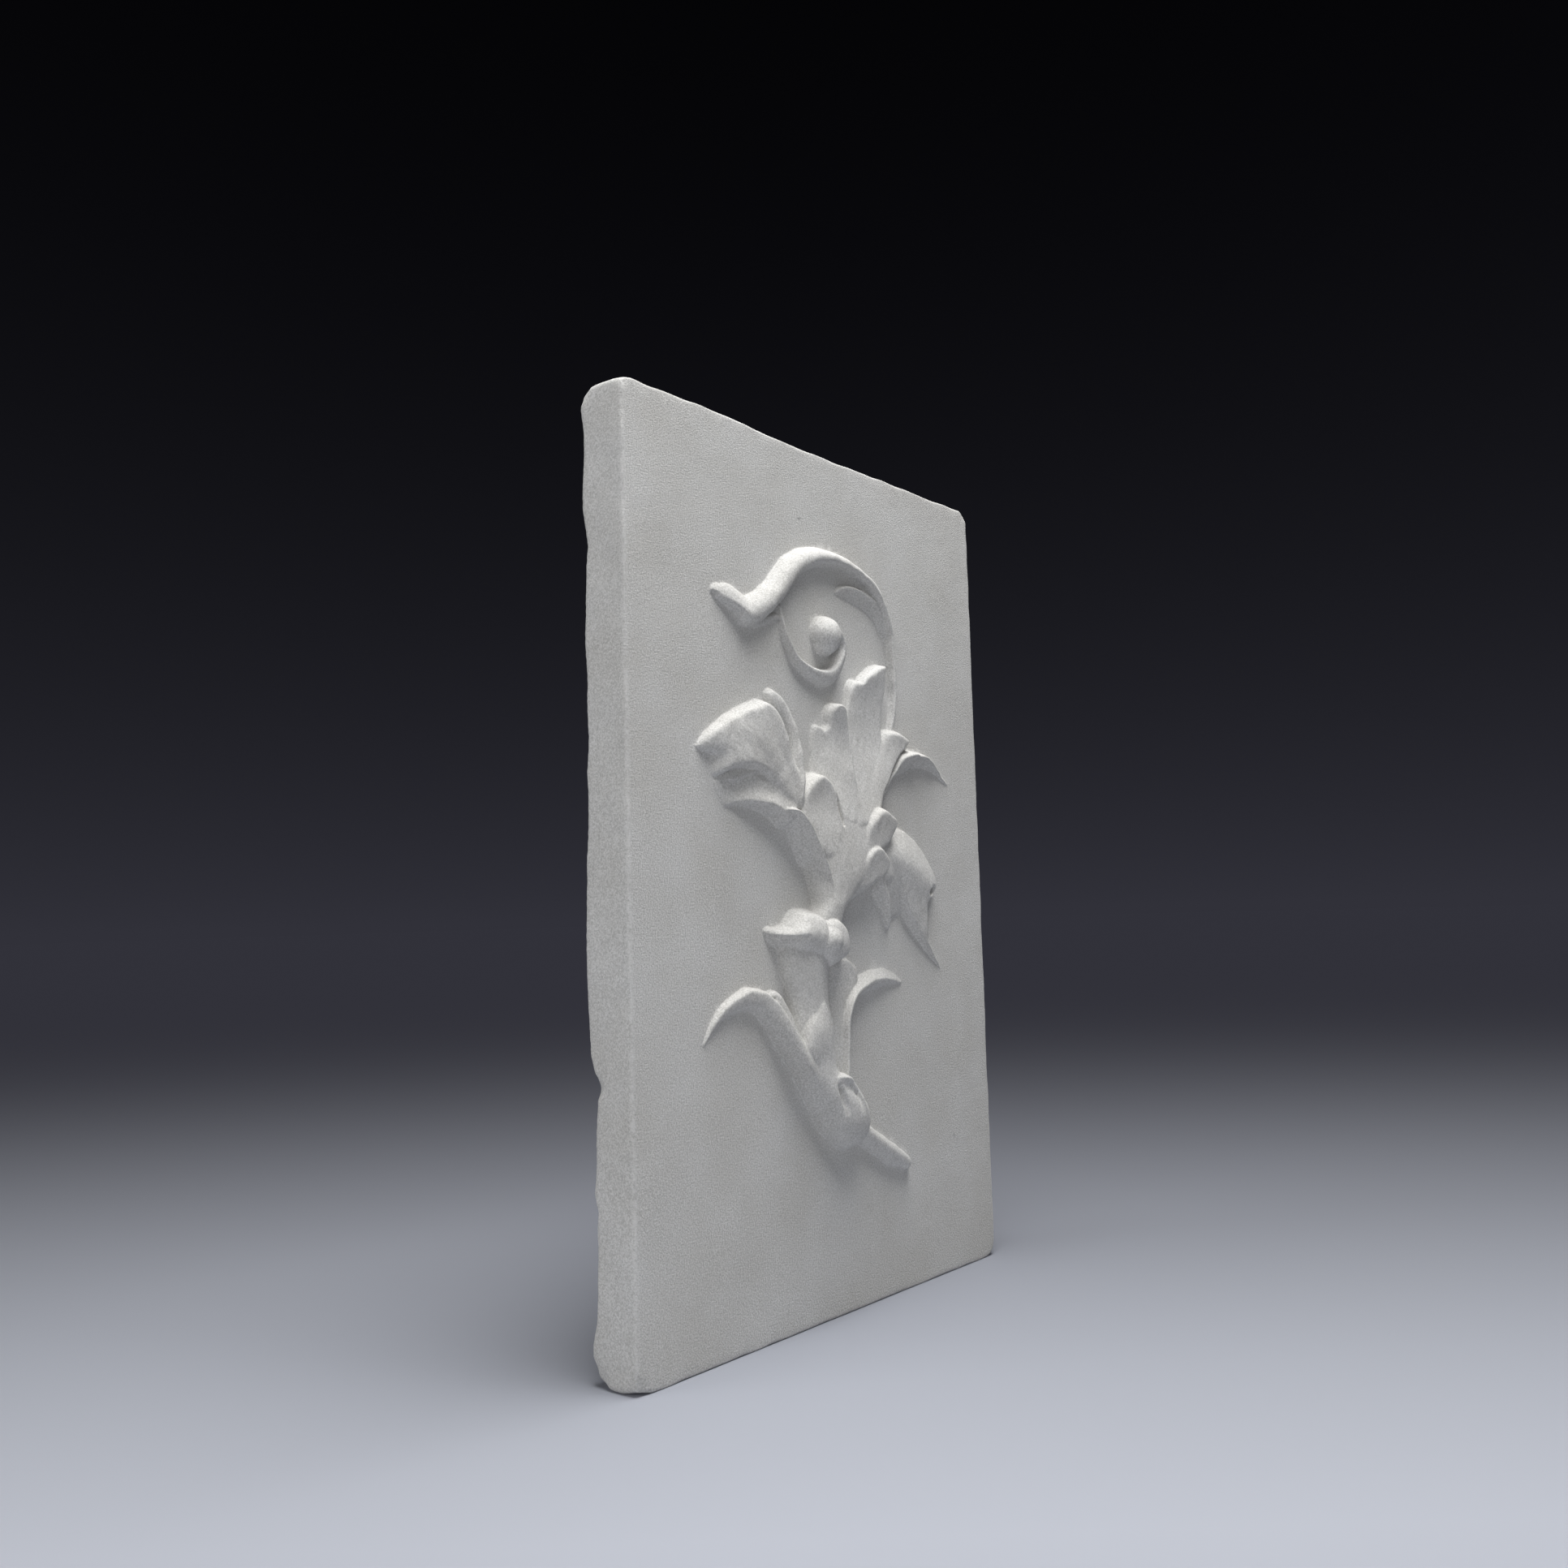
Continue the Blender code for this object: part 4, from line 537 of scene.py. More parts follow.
def calyx(x, z):
    """The cup-shaped body of leaves, hollow toward the top, and its turned-out tips."""
    body = trunk(x, z, [(262, -40, 6, 13), (275, -29, 13, 14.5), (285, -29, 25, 14.5),
                        (298, -32, 44, 15), (312, -38, 56, 14.5), (330, -46, 62, 13),
                        (345, -36, 62, 11), (357, -28, 64, 9), (368, -19, 68, 6),
                        (380, -12, 70, 4), (392, -6, 72, 2)], CUP)
    tall = patch(x, z, [(25.5, 424, 3, 1), (30.5, 432.5, 3, 1), (37, 437.5, 3, 1),
                        (44.5, 438, 3, 0.6), (47.5, 439.5, 3, 0.6), (54, 444.8, 4, 0.8), (64, 450.6, 5, 0.8),
                        (75.5, 454.5, 5, 0.6), (75, 447, 3, 0.8), (73, 436, 3, 0.8), (68.5, 424, 3, 0.8),
                        (66.5, 410, 2, 1), (67, 395, 1, 1), (68, 380, 1, 1), (69, 364, 1, 1),
                        (60, 342, 2, 1), (42, 333, 2, 1), (28, 336, 2, 1), (22, 360, 1, 1),
                        (20, 378, 1, 1), (19, 395, 1.6, 1), (21, 411, 2, 1)],
                 [(75, 454.5, 9.8), (62, 448.5, 9.4), (50, 440.5, 8.4), (40, 437, 7.6), (31, 431, 6),
                  (26, 424, 4.8), (71, 435, 7.2), (58, 434, 6.7), (44, 427, 6), (33, 418, 5),
                  (66, 415, 5.4), (50, 411, 4.7), (30, 402, 4.4), (64, 397, 5.4), (46, 393, 5),
                  (60, 375, 7.6), (40, 375, 7), (64, 360, 9.2), (45, 355, 10), (30, 362, 8.6),
                  (57, 345, 11.5), (42, 337, 12.8), (29, 345, 11)])
    mid = patch(x, z, [(1, 403, 3, 1), (4, 410, 3.5, 1), (8.5, 415.5, 5, 0.8), (14, 419, 6, 0.6),
                       (20, 419.8, 6, 0.6), (24.5, 417, 4, 0.8), (25.5, 408, 3, 0.8), (27, 397, 3, 0.8),
                       (30, 385, 2.5, 0.8), (31.5, 372, 2, 0.8), (34, 360, 1.4, 0.8),
                       (36, 345, 1.4, 1), (30, 334, 2, 1), (12, 336, 3, 1), (-10, 349, 3, 1),
                       (-19, 362, 0.8, 1.5), (-21, 380, 0.8, 1.5), (-19.5, 392, 1, 1.2),
                       (-16, 399, 2, 0.8), (-10.5, 401.5, 3, 0.8),
                       (-6, 400.5, 3.5, 0.8), (-3.5, 399, 3, 0.6)],
                [(20, 418.5, 11.4), (8.5, 413.5, 8.8), (2, 404, 5.8), (-11, 400.5, 3.6), (-21, 388, 1.2),
                 (13, 404, 7.2), (22, 401, 8.2), (4, 394, 5), (-10, 386, 3.2), (22, 386, 7.3),
                 (2, 378, 5.8), (-20, 370, 1.8), (28, 372, 9.4), (8, 364, 7.8), (-14, 358, 5),
                 (32.5, 357, 10.4), (10, 350, 9.8), (-11, 372, 3.8), (32, 342, 11.8), (16, 340, 12)])
    front = patch(x, z, [(-31, 345, 3, 1), (-26, 353.5, 4, 0.8), (-20, 360.5, 5, 0.8),
                         (-13, 365, 5, 0.8), (-5, 367, 5, 0.8), (2.5, 364, 4, 0.8), (7.5, 358, 3, 0.8),
                         (11.5, 351, 3, 0.8), (14, 343, 2.5, 0.8), (15, 334, 1.5, 0.8), (13, 322, 1, 1),
                         (2, 310, 1, 1), (-15, 318, 1, 1), (-29, 333, 2, 1)],
                  [(-5, 366.5, 13), (-18, 360, 12.6), (-27, 350.5, 12.2), (-31, 344, 12), (3, 362.5, 13),
                   (9, 354, 13), (-5, 354, 11.2), (-15, 344, 11.3), (4, 343, 11.8),
                   (-3, 327, 12.8), (13, 341, 13), (12, 330, 13.2), (-20, 333, 12.6), (5, 312, 13.6)])
    side = patch(x, z, [(74.5, 402.5, 2, 0.8), (82, 404.6, 2.5, 0.8), (91, 404.4, 2.5, 0.8),
                        (99, 402.2, 2.5, 0.8), (104, 399.5, 2, 0.8), (98, 393, 3, 0.8), (90, 387, 3, 0.8),
                        (83, 379, 3, 0.8), (77, 370, 3, 0.8), (70, 361, 3, 0.8), (62, 351, 2, 0.8),
                        (54, 358, 0.5, 1), (60, 378, 0.5, 1.5), (66, 392, 0.8, 1.5)],
                 [(77, 403, 7.4), (91, 403.2, 8.2), (103, 400, 7.4), (94, 395, 7.2), (85, 388, 7.8),
                  (76, 376, 8.4), (67, 363, 9.4), (63, 380, 7.7), (69, 392, 6.6)])
    left_tip = ridge(x, z, [(6, 268, 11, 13, 4), (2, 285, 13, 17.5, 4), (-4, 303, 14.5, 20, 5),
                            (-14, 320, 15.3, 20.5, 4), (-25, 334, 16, 17.5, 4), (-33, 340, 15.5, 13, 3.5),
                            (-48, 341.5, 11.5, 9, 3)], slope(0.4), SOFT)
    upper_roll = patch(x, z, [(43, 322, 2, 1), (50, 332, 2, 1), (57, 339.5, 2, 1),
                              (64, 344.6, 2.5, 0.8), (71, 345, 2.6, 0.8), (78, 342.5, 2.8, 0.8),
                              (84, 337.5, 2.6, 0.6), (80, 329, 3, 0.8), (74, 322, 3, 0.8),
                              (66, 318, 3, 0.8), (52, 312, 2, 1), (40, 311, 1, 1)],
                       [(64, 344, 17), (52, 335, 16.4), (43, 323, 14.2), (77, 341.5, 16.6),
                        (83.5, 337, 15.2), (60, 331, 15), (71, 327, 14.6), (50, 324, 14.4),
                        (66, 319, 13.8), (46, 313, 13.8)])
    lower_roll = patch(x, z, [(38, 299, 2, 1), (44, 308, 2, 1), (51, 314, 2.5, 0.8),
                              (58, 317.3, 2.5, 0.8), (64, 317, 2.6, 0.8), (69, 313.5, 2.6, 0.8),
                              (73, 308.5, 2.6, 0.6), (71.5, 302, 3, 0.8), (65, 297, 3, 0.8),
                              (56, 293.5, 3, 0.8), (44, 289, 2, 1), (33, 289, 1, 1)],
                       [(58.5, 316.6, 17.2), (47.5, 310, 16.4), (38.5, 299.5, 14.2), (67.5, 314, 16.6),
                        (72.5, 308.3, 15.4), (57, 305, 15), (46, 300, 14.4), (66, 300, 14.4),
                        (50, 291.5, 13.4)])
    surface = joined(body, tall, mid, side, front, left_tip, upper_roll, lower_roll)
    surface = sink(surface, x, z, 14, [(11, 358, 2, 1.5), (12.5, 351, 6, 2.5), (14.5, 342, 6.5, 2.5),
                                       (17, 333, 2, 1.5)])
    return sink(surface, x, z, 11, [(-48, 336, 7, 2.6), (-45, 334, 7, 2.6)])


def foot_leaves(x, z):
    """The two leaves that curl away from the bud below the collar."""
    right = ridge(x, z, [(12, 156, 8, 11, 4), (13.5, 176, 8.6, 12, 5), (15, 193, 9, 12.5, 6),
                         (19, 206, 9.2, 12.5, 7), (28, 215.5, 8.6, 11.5, 8), (44, 221.5, 7, 9, 7.5),
                         (60, 223, 4.8, 7, 6), (71, 221.5, 3, 5, 4), (80, 219, 1, 1.5, 2)],
                  slope(0.15), SOFT)
    web = patch(x, z, [(9, 148, 2, 1), (-6, 150, 2, 1), (-9, 190, 2, 1), (-9, 220, 2, 1),
                       (-2, 236, 2, 1), (11, 238.5, 2, 0.8), (19, 236, 2, 0.8),
                       (25, 231, 1, 1.5), (27, 223, 1, 2), (24, 212, 1, 2), (16, 195, 1, 2)],
                [(-6, 165, 3), (-6, 200, 4.2), (0, 222, 5), (6, 236, 6), (14, 237.5, 5.8),
                 (24, 230, 4.8), (20, 220, 4.8), (10, 190, 4.4), (8, 165, 4)])
    left = ridge(x, z, [(-137, 193, 0.8, 1.5, 1.5), (-128, 203, 2.6, 2.5, 3.5),
                        (-117, 211.5, 4.4, 3.2, 6), (-105, 217.5, 5.6, 3.6, 9),
                        (-90, 221.2, 7, 3.8, 12), (-74, 218.5, 8.5, 3.6, 16), (-59, 208, 10.5, 3.5, 20.5),
                        (-45, 192, 13, 4, 22.5), (-30.5, 173, 15.5, 10, 23),
                        (-22, 160, 14.5, 14, 22), (-14, 148, 12, 14, 18)], ROUND, LEAF_UNDERSIDE)
    back_tip = ridge(x, z, [(-75, 216.5, 3, 3, 6), (-64, 217.5, 6.4, 4, 9), (-54, 208.5, 9, 4, 9),
                            (-46, 196.5, 11.2, 4, 8), (-36, 182, 13, 4, 6)],
                     ROUND, slope(0.9))
    return joined(right, web, left, back_tip)


def bud_and_stalk(x, z):
    """The stem under the collar, the bud it rises from, the bud's scar, and the stalk."""
    bud = trunk(x, z, [(112, -6, 22, 7), (118, -16, 31, 12), (128, -27, 35, 16), (140, -35, 31, 17),
                       (152, -44, 14, 16.5), (165, -52, -1.5, 15.5), (180, -57, -5, 15),
                       (195, -58, -5, 14), (212, -57, -9.5, 13.2), (228, -61, -9, 13.8),
                       (242, -64, -5, 14.4), (256, -64, 2, 14.5)], STEM)
    shoulder = patch(x, z, [(-12, 211.5, 1.6, 1), (-7, 204, 2.5, 0.8), (-5.5, 192, 2.5, 0.8),
                            (-5.5, 176, 2, 0.8), (-14, 165, 2, 1), (-24, 168, 3, 1),
                            (-31, 178, 3, 1), (-31, 188, 3, 1), (-26, 198, 2, 1), (-19, 206, 2, 1)],
                     [(-12, 211, 14.2), (-7.5, 202, 15), (-22, 203, 14.6), (-31, 188, 15.6),
                      (-19, 192, 17), (-7, 188, 15.8), (-26, 178, 16.2), (-8, 175, 15.2),
                      (-20, 167, 14.6)])
    scar = patch(x, z, [(-5, 158, 6, 0.4), (3, 158.8, 6, 0.4), (11, 158.4, 6, 0.4), (18, 156.5, 5, 0.6),
                        (24.5, 149.5, 3, 0.8), (30.5, 141.5, 2.5, 0.8), (35.5, 132.5, 2.5, 0.8),
                        (36.5, 124, 2, 0.8), (31, 118, 2, 1), (20, 120, 3, 1), (8, 130, 3, 1),
                        (-4, 146, 3, 1)],
                 [(-5, 158, 15), (4, 158.6, 17), (12, 158.2, 17.4), (19, 155.5, 17.6), (25.5, 148, 17.6),
                  (31, 140.5, 17), (35.5, 131.5, 15.6), (36, 124, 13), (15, 152.5, 15.4),
                  (21, 145.5, 14.6), (25, 137, 14.4), (28, 128.5, 14), (28, 121, 12), (8, 140, 14.8),
                  (14, 128, 13.6), (-2, 150, 15)])
    stalk = ridge(x, z, [(26, 121, 8, 7, 8), (34, 117, 8.5, 7.2, 12), (50, 108, 8, 6.8, 12.5),
                         (70, 97, 7, 6.2, 12.5), (84, 89, 5.5, 5.5, 9)])
    surface = joined(bud, shoulder, scar, stalk)
    surface = sink(surface, x, z, 16, [(1, 152, 2.5, 2.6), (3, 148, 4, 3.2), (6, 142, 3, 3.2),
                                       (9, 134, 0.6, 3)])
    return sink(surface, x, z, 15, [(17, 152, 1.2, 2.4), (21, 148, 2.4, 3), (24, 142.5, 2, 3),
                                    (26, 135, 0.5, 3)])


def collar(x, z):
    """The thick ring that ties the stem, its wavy lip and the knob at its right end."""
    ring = patch(x, z, [(-73, 263, 2, 0.8), (-60, 260.8, 2, 1), (-49, 262.3, 2.4, 0.8),
                        (-40, 266, 2.6, 0.8), (-31, 270, 2.6, 0.8), (-22, 270.2, 2.4, 1),
                        (-13, 268, 2.2, 1), (-5, 264.6, 2.2, 0.8), (3, 266, 2.2, 1), (11, 264, 2.4, 1),
                        (18, 258.5, 3, 1.2), (20.5, 251, 3, 1.2), (18, 242.5, 3, 1.2),
                        (8, 237.5, 2.5, 1.5), (0, 237, 2.5, 1.5), (-9, 241, 2.2, 1.5),
                        (-22, 243, 2, 1.5), (-34, 245.5, 2, 1.5), (-42, 248.5, 2, 1.2),
                        (-50, 250.5, 2.4, 0.8), (-58, 251.5, 2.4, 0.8), (-68, 255, 2.4, 0.8),
                        (-77, 261, 2, 0.6)],
                 [(-76, 262.5, 1.2), (-69, 262, 3.4), (-60, 261, 5.6), (-49, 262.6, 8.8), (-40, 266.2, 11.4),
                  (-31, 269.8, 13.4), (-20, 269.4, 15), (-5, 264.4, 16.8), (4, 265.5, 16.8),
                  (16, 258, 16.8), (-68, 256.5, 4.4), (-59, 256.8, 7.6), (-50, 257.8, 11.4),
                  (-40, 260.2, 14.8), (-30, 261.2, 17.3), (-20, 259.2, 18.7), (-10, 256.5, 19.1),
                  (4, 256, 19.4), (14, 250.5, 18.4), (-58, 252, 6.8), (-50, 251.5, 9.8),
                  (-42, 250.6, 12.6), (-32, 250.4, 15.8), (-28, 245.4, 14.2), (-10, 243.4, 16.6),
                  (5, 240, 17.6), (15, 243, 17)])
    ring = sink(ring, x, z, 9, [(-67, 257.6, 0.6, 1.6), (-58, 255.6, 1.3, 2), (-49, 254.6, 1.3, 2),
                                (-41, 255.6, 0.5, 1.6)])
    ring = sink(ring, x, z, 19, [(-2.5, 265, 1.6, 2), (-4, 257, 1.8, 2.6), (-6, 247, 1.4, 2.6),
                                 (-8, 240, 0.8, 2)])
    knob = dome(x, z, -24.5, 252.5, 17, 14.5, RELIEF_HEIGHT)
    return join(ring, knob)


def ornament(x, z):
    """Height of the whole ornament above the slab's face, in its own units."""
    parts = (scroll, left_leaf, right_leaves, calyx, foot_leaves, bud_and_stalk, collar)
    return joined(np.zeros(x.shape), *[part(x, z) for part in parts])


def ripple(a, b, length, seed, waves=9):
    """Unevenness of about -2 to 2, even on average.

    The sum of sine waves of about one length, in directions and with phases drawn from a
    seeded generator, over the root of their number.
    """
    draw = np.random.default_rng(seed)
    total = np.zeros(np.broadcast(a, b).shape)
    for _ in range(waves):
        heading, phase = draw.uniform(0.0, 2 * math.pi, 2)
        turns = (a * math.cos(heading) + b * math.sin(heading)) / (length * draw.uniform(0.7, 1.4))
        total += np.sin(2 * math.pi * turns + phase)
    return total / math.sqrt(waves)


def relief(x, z):
    """Height of the face over its plane: the ornament, modelled by hand, on hand-smoothed ground.

    The ornament is read at points shifted by a ripple, which leaves its edges a little
    uneven, and a shorter ripple is added where it stands out. The ground only dips.
    """
    shifted_x = x + HAND_WANDER * ripple(x, z, *EDGES_ACROSS)
    shifted_z = z + HAND_WANDER * ripple(x, z, *EDGES_UP)
    form = ornament(shifted_x, shifted_z)
    raised = np.clip(form / MARKS_FULL, 0.0, 1.0)
    marks = HAND_MARKS * raised * ripple(x, z, *MARKS)
    uneven = 0.5 + 0.25 * ripple(x, z, *GROUND_SWELL) + 0.08 * ripple(x, z, *GROUND_WAVES)
    return np.minimum(form + marks, RELIEF_HEIGHT) - GROUND_DIP * np.clip(uneven, 0, 1)


def grid_lines(total, start, end, first_corner, last_corner):
    """Places of the grid's lines: fine from start to end, plain elsewhere, close at the corners."""
    near_edge = np.arange(CORNER_LINES) / CORNER_LINES
    first = np.arange(first_corner, start - PLAIN_STEP / 2, PLAIN_STEP)
    fine = np.linspace(start, end, round((end - start) / FINE_STEP) + 1)
    last = total - np.arange(last_corner, total - end - PLAIN_STEP / 2, PLAIN_STEP)[::-1]
    far_edge = total - last_corner * near_edge[::-1]
    return np.concatenate([first_corner * near_edge, first, fine, last, far_edge])


def outline(x, z, inset):
    """Moves points of the sharp-cornered slab onto one with round corners and an inset.

    Beyond the straight stretch a point keeps its direction from the corner's centre, and
    its distance becomes the radius less the inset.
    """
    radius = LEFT_CORNER + (RIGHT_CORNER - LEFT_CORNER) * (x / WIDTH + 0.5)
    radius = np.maximum(radius, inset)
    straight_x = WIDTH / 2 - radius
    straight_z = HEIGHT / 2 - radius
    z = z - HEIGHT / 2
    over_x = np.maximum(np.abs(x) - straight_x, 0.0)
    over_z = np.maximum(np.abs(z) - straight_z, 0.0)
    round_off = np.maximum(over_x, over_z) / np.maximum(np.hypot(over_x, over_z), 1e-9)
    kept = round_off * (radius - inset) / radius
    new_x = np.sign(x) * (np.minimum(np.abs(x), straight_x) + over_x * kept)
    new_z = np.sign(z) * (np.minimum(np.abs(z), straight_z) + over_z * kept)
    return new_x, new_z + HEIGHT / 2


def wander(x, z, depth):
    """How far the sides lie inside the true outline: uneven, and less at the foot and the right.

    It is EDGE_WANDER times a long ripple and half a short one, kept from a tenth to 1.2.
    Both ripples change with depth as well as along the side.
    """
    swell = ripple(x + 1.3 * depth, z - 0.8 * depth, *SIDE_SWELL)
    uneven = swell + 0.5 * ripple(x - depth, z + depth, *SIDE_NICKS)
    near_foot = np.interp(z, [0.0, FOOT_REACH], [FOOT_SHARE, 1.0])
    near_right = np.interp(x, [0.0, WIDTH / 2], [1.0, RIGHT_SHARE])
    return EDGE_WANDER * near_foot * near_right * np.clip(0.35 + 0.3 * uneven, 0.1, 1.2)


def back_plane(x, z):
    """Depth of the back: struck off by hand, uneven, with faint drag marks, worn at the left.

    The wear falls off from the side by e to the power of minus the square of the distance
    over WORN_REACH.
    """
    uneven = 0.5 + 0.3 * ripple(x, z, *BACK_SWELL) + 0.12 * ripple(x / DRAG_STRETCH, z, *BACK_DRAG)
    heights, losses = np.array(WORN_EDGE, dtype=float).T
    worn = np.interp(z, heights, losses) * np.exp(-((x + WIDTH / 2) / WORN_REACH)**2)
    return BACK - BACK_DIP * np.clip(uneven, 0.05, 1.0) - worn


def planed(points):
    """Lowers the top of the slab to its uneven upper edge.

    A point moves by the loss above it times the square of how far up TOP_REACH it lies.
    """
    place, loss = np.array(TOP_EDGE, dtype=float).T
    share = np.clip((points[:, 2] - HEIGHT + TOP_REACH) / TOP_REACH, 0.0, 1.0)**2
    lowered = points.copy()
    lowered[:, 2] -= share * np.interp(points[:, 0], place, loss)
    return lowered


def knocked(points):
    """Pushes in the blunted corners and the chip.

    A point near one moves by its push times a share: 1 less the square of its distance over
    the reach, to the power of one and a half.
    """
    for place, reach, push in KNOCKS:
        away = np.linalg.norm(points - np.array(place), axis=-1, keepdims=True) / reach
        points = points + np.array(push) * np.clip(1.0 - away**2, 0.0, 1.0)**1.5
    return points


def border(grid):
    """The outermost entries of a grid, in order round it."""
    return np.concatenate([grid[0, :-1], grid[:-1, -1], grid[-1, :0:-1], grid[:0:-1, 0]])


def face_rounding(x, z):
    """Radius of the rounded edge between face and sides, uneven along the slab."""
    return FACE_ARRIS * (1.0 + ARRIS_WANDER * ripple(x, z, *FACE_EDGE))


def rings(x, z, face_depth):
    """The rounded edge of the face, the sides, the rounded edge of the back, and the back.

    Two parameters: the place along the border, and the way from face to back. On a rounded
    edge of radius r turned through t, a point lies r (1 - sin t) inside the outline and
    r (1 - cos t) below the face or back. On the back the border shrinks to its middle.
    """
    front_round = face_rounding(x, z)
    back_round = BACK_ARRIS * (1.0 + ARRIS_WANDER * ripple(x, z, *BACK_EDGE))
    back_depth = back_plane(*outline(x, z, back_round))
    rows = []
    for turn in np.linspace(0.0, math.pi / 2, FACE_ARRIS_RINGS + 1)[1:]:
        depth = face_depth + front_round * (1 - math.cos(turn))
        rows.append((front_round * (1 - math.sin(turn)), depth))
    for share in np.linspace(0.0, 1.0, SIDE_RINGS + 2)[1:-1]:
        depth = (face_depth + front_round) * (1 - share) + (back_depth - back_round) * share
        rows.append((0.0, depth))
    for turn in np.linspace(math.pi / 2, 0.0, BACK_ARRIS_RINGS):
        rows.append((back_round * (1 - math.sin(turn)), back_depth - back_round * (1 - math.cos(turn))))
    made = []
    for inset, depth in rows:
        place_x, place_z = outline(x, z, inset + wander(x, z, depth))
        made.append(np.column_stack([place_x, depth, place_z]))
    edge = made[-1][:, [0, 2]]
    middle = np.array([0.0, HEIGHT / 2])
    for share in np.linspace(1.0, 0.0, BACK_RINGS + 2)[1:-1]:
        place_x, place_z = (middle + (edge - middle) * share).T
        made.append(np.column_stack([place_x, back_plane(place_x, place_z), place_z]))
    return np.array(made)


def mesh_of(name, points, quads, triangles):
    """A mesh from whole arrays of points in millimetres, of quads and of triangles."""
    mesh = bpy.data.meshes.new(name)
    corners = np.concatenate([quads.ravel(), triangles.ravel()]).astype(np.int32)
    starts = np.arange(len(quads)) * 4
    starts = np.concatenate([starts, len(quads) * 4 + np.arange(len(triangles)) * 3]).astype(np.int32)
    mesh.vertices.add(len(points))
    mesh.vertices.foreach_set("co", (points * MM).astype(np.float32).ravel())
    mesh.loops.add(len(corners))
    mesh.loops.foreach_set("vertex_index", corners)
    mesh.polygons.add(len(starts))
    mesh.polygons.foreach_set("loop_start", starts)
    mesh.update(calc_edges=True)
    return mesh


def casting():
    """The whole slab as one closed mesh, simplified where it is flat."""
    across = grid_lines(WIDTH, WIDTH / 2 + FINE_LEFT, WIDTH / 2 + FINE_RIGHT, LEFT_CORNER, RIGHT_CORNER)
    up = grid_lines(HEIGHT, FINE_FOOT, FINE_TOP, RIGHT_CORNER, RIGHT_CORNER)
    x, z = np.meshgrid(across - WIDTH / 2, up)
    front_round = face_rounding(x, z)
    face_x, face_z = outline(x, z, front_round + wander(x, z, FACE))
    depth = FACE - relief(face_x, face_z)
    face = np.dstack([face_x, depth, face_z]).reshape(-1, 3)
    around_it = rings(border(x), border(z), border(depth))
    middle = np.array([[0.0, float(back_plane(0.0, HEIGHT / 2)), HEIGHT / 2]])
    points = knocked(planed(np.vstack([face, around_it.reshape(-1, 3), middle])))

    numbers = np.arange(x.size).reshape(x.shape)
    face_quads = np.stack([numbers[:-1, :-1], numbers[:-1, 1:], numbers[1:, 1:], numbers[1:, :-1]], -1)
    levels = np.arange(around_it.shape[0] * around_it.shape[1]).reshape(around_it.shape[:2]) + x.size
    levels = np.vstack([border(numbers)[None], levels])
    beside = np.roll(levels, -1, axis=1)
    ring_quads = np.stack([beside[:-1], levels[:-1], levels[1:], beside[1:]], -1)
    quads = np.vstack([face_quads.reshape(-1, 4), ring_quads.reshape(-1, 4)])
    cap = np.stack([beside[-1], levels[-1], np.full(levels.shape[1], len(points) - 1)], -1)

    raw = bpy.data.objects.new("raw_casting", mesh_of("raw_casting", points, quads, cap))
    bpy.context.scene.collection.objects.link(raw)
    simplify = raw.modifiers.new("simplify", "DECIMATE")
    simplify.ratio = KEPT_TRIANGLES / (2 * len(quads) + len(cap))
    finished = raw.evaluated_get(bpy.context.evaluated_depsgraph_get())
    mesh = bpy.data.meshes.new_from_object(finished)
    mesh.name = "casting"
    bpy.data.objects.remove(raw, do_unlink=True)
    mesh.shade_smooth()
    piece = bpy.data.objects.new("casting", mesh)
    bpy.context.scene.collection.objects.link(piece)
    return piece


def linear(hex_colour):
    """An sRGB hex colour as linear red, green, blue and alpha."""
    parts = [int(hex_colour[i:i + 2], 16) / 255 for i in (1, 3, 5)]
    return (*[c / 12.92 if c <= 0.04045 else ((c + 0.055) / 1.055)**2.4 for c in parts], 1.0)


def node(tree, kind, fields=(), values=(), links=()):
    """Adds a node: sets its fields and the values of its inputs, and links the rest."""
    made = tree.nodes.new(kind)
    for name, value in dict(fields).items():
        setattr(made, name, value)
    for name, value in dict(values).items():
        made.inputs[name].default_value = value
    for name, output in dict(links).items():
        tree.links.new(output, made.inputs[name])
    return made


def per_metre(millimetres):
    """The scale of a texture whose features are this many millimetres apart."""
    return 1.0 / (millimetres * MM)


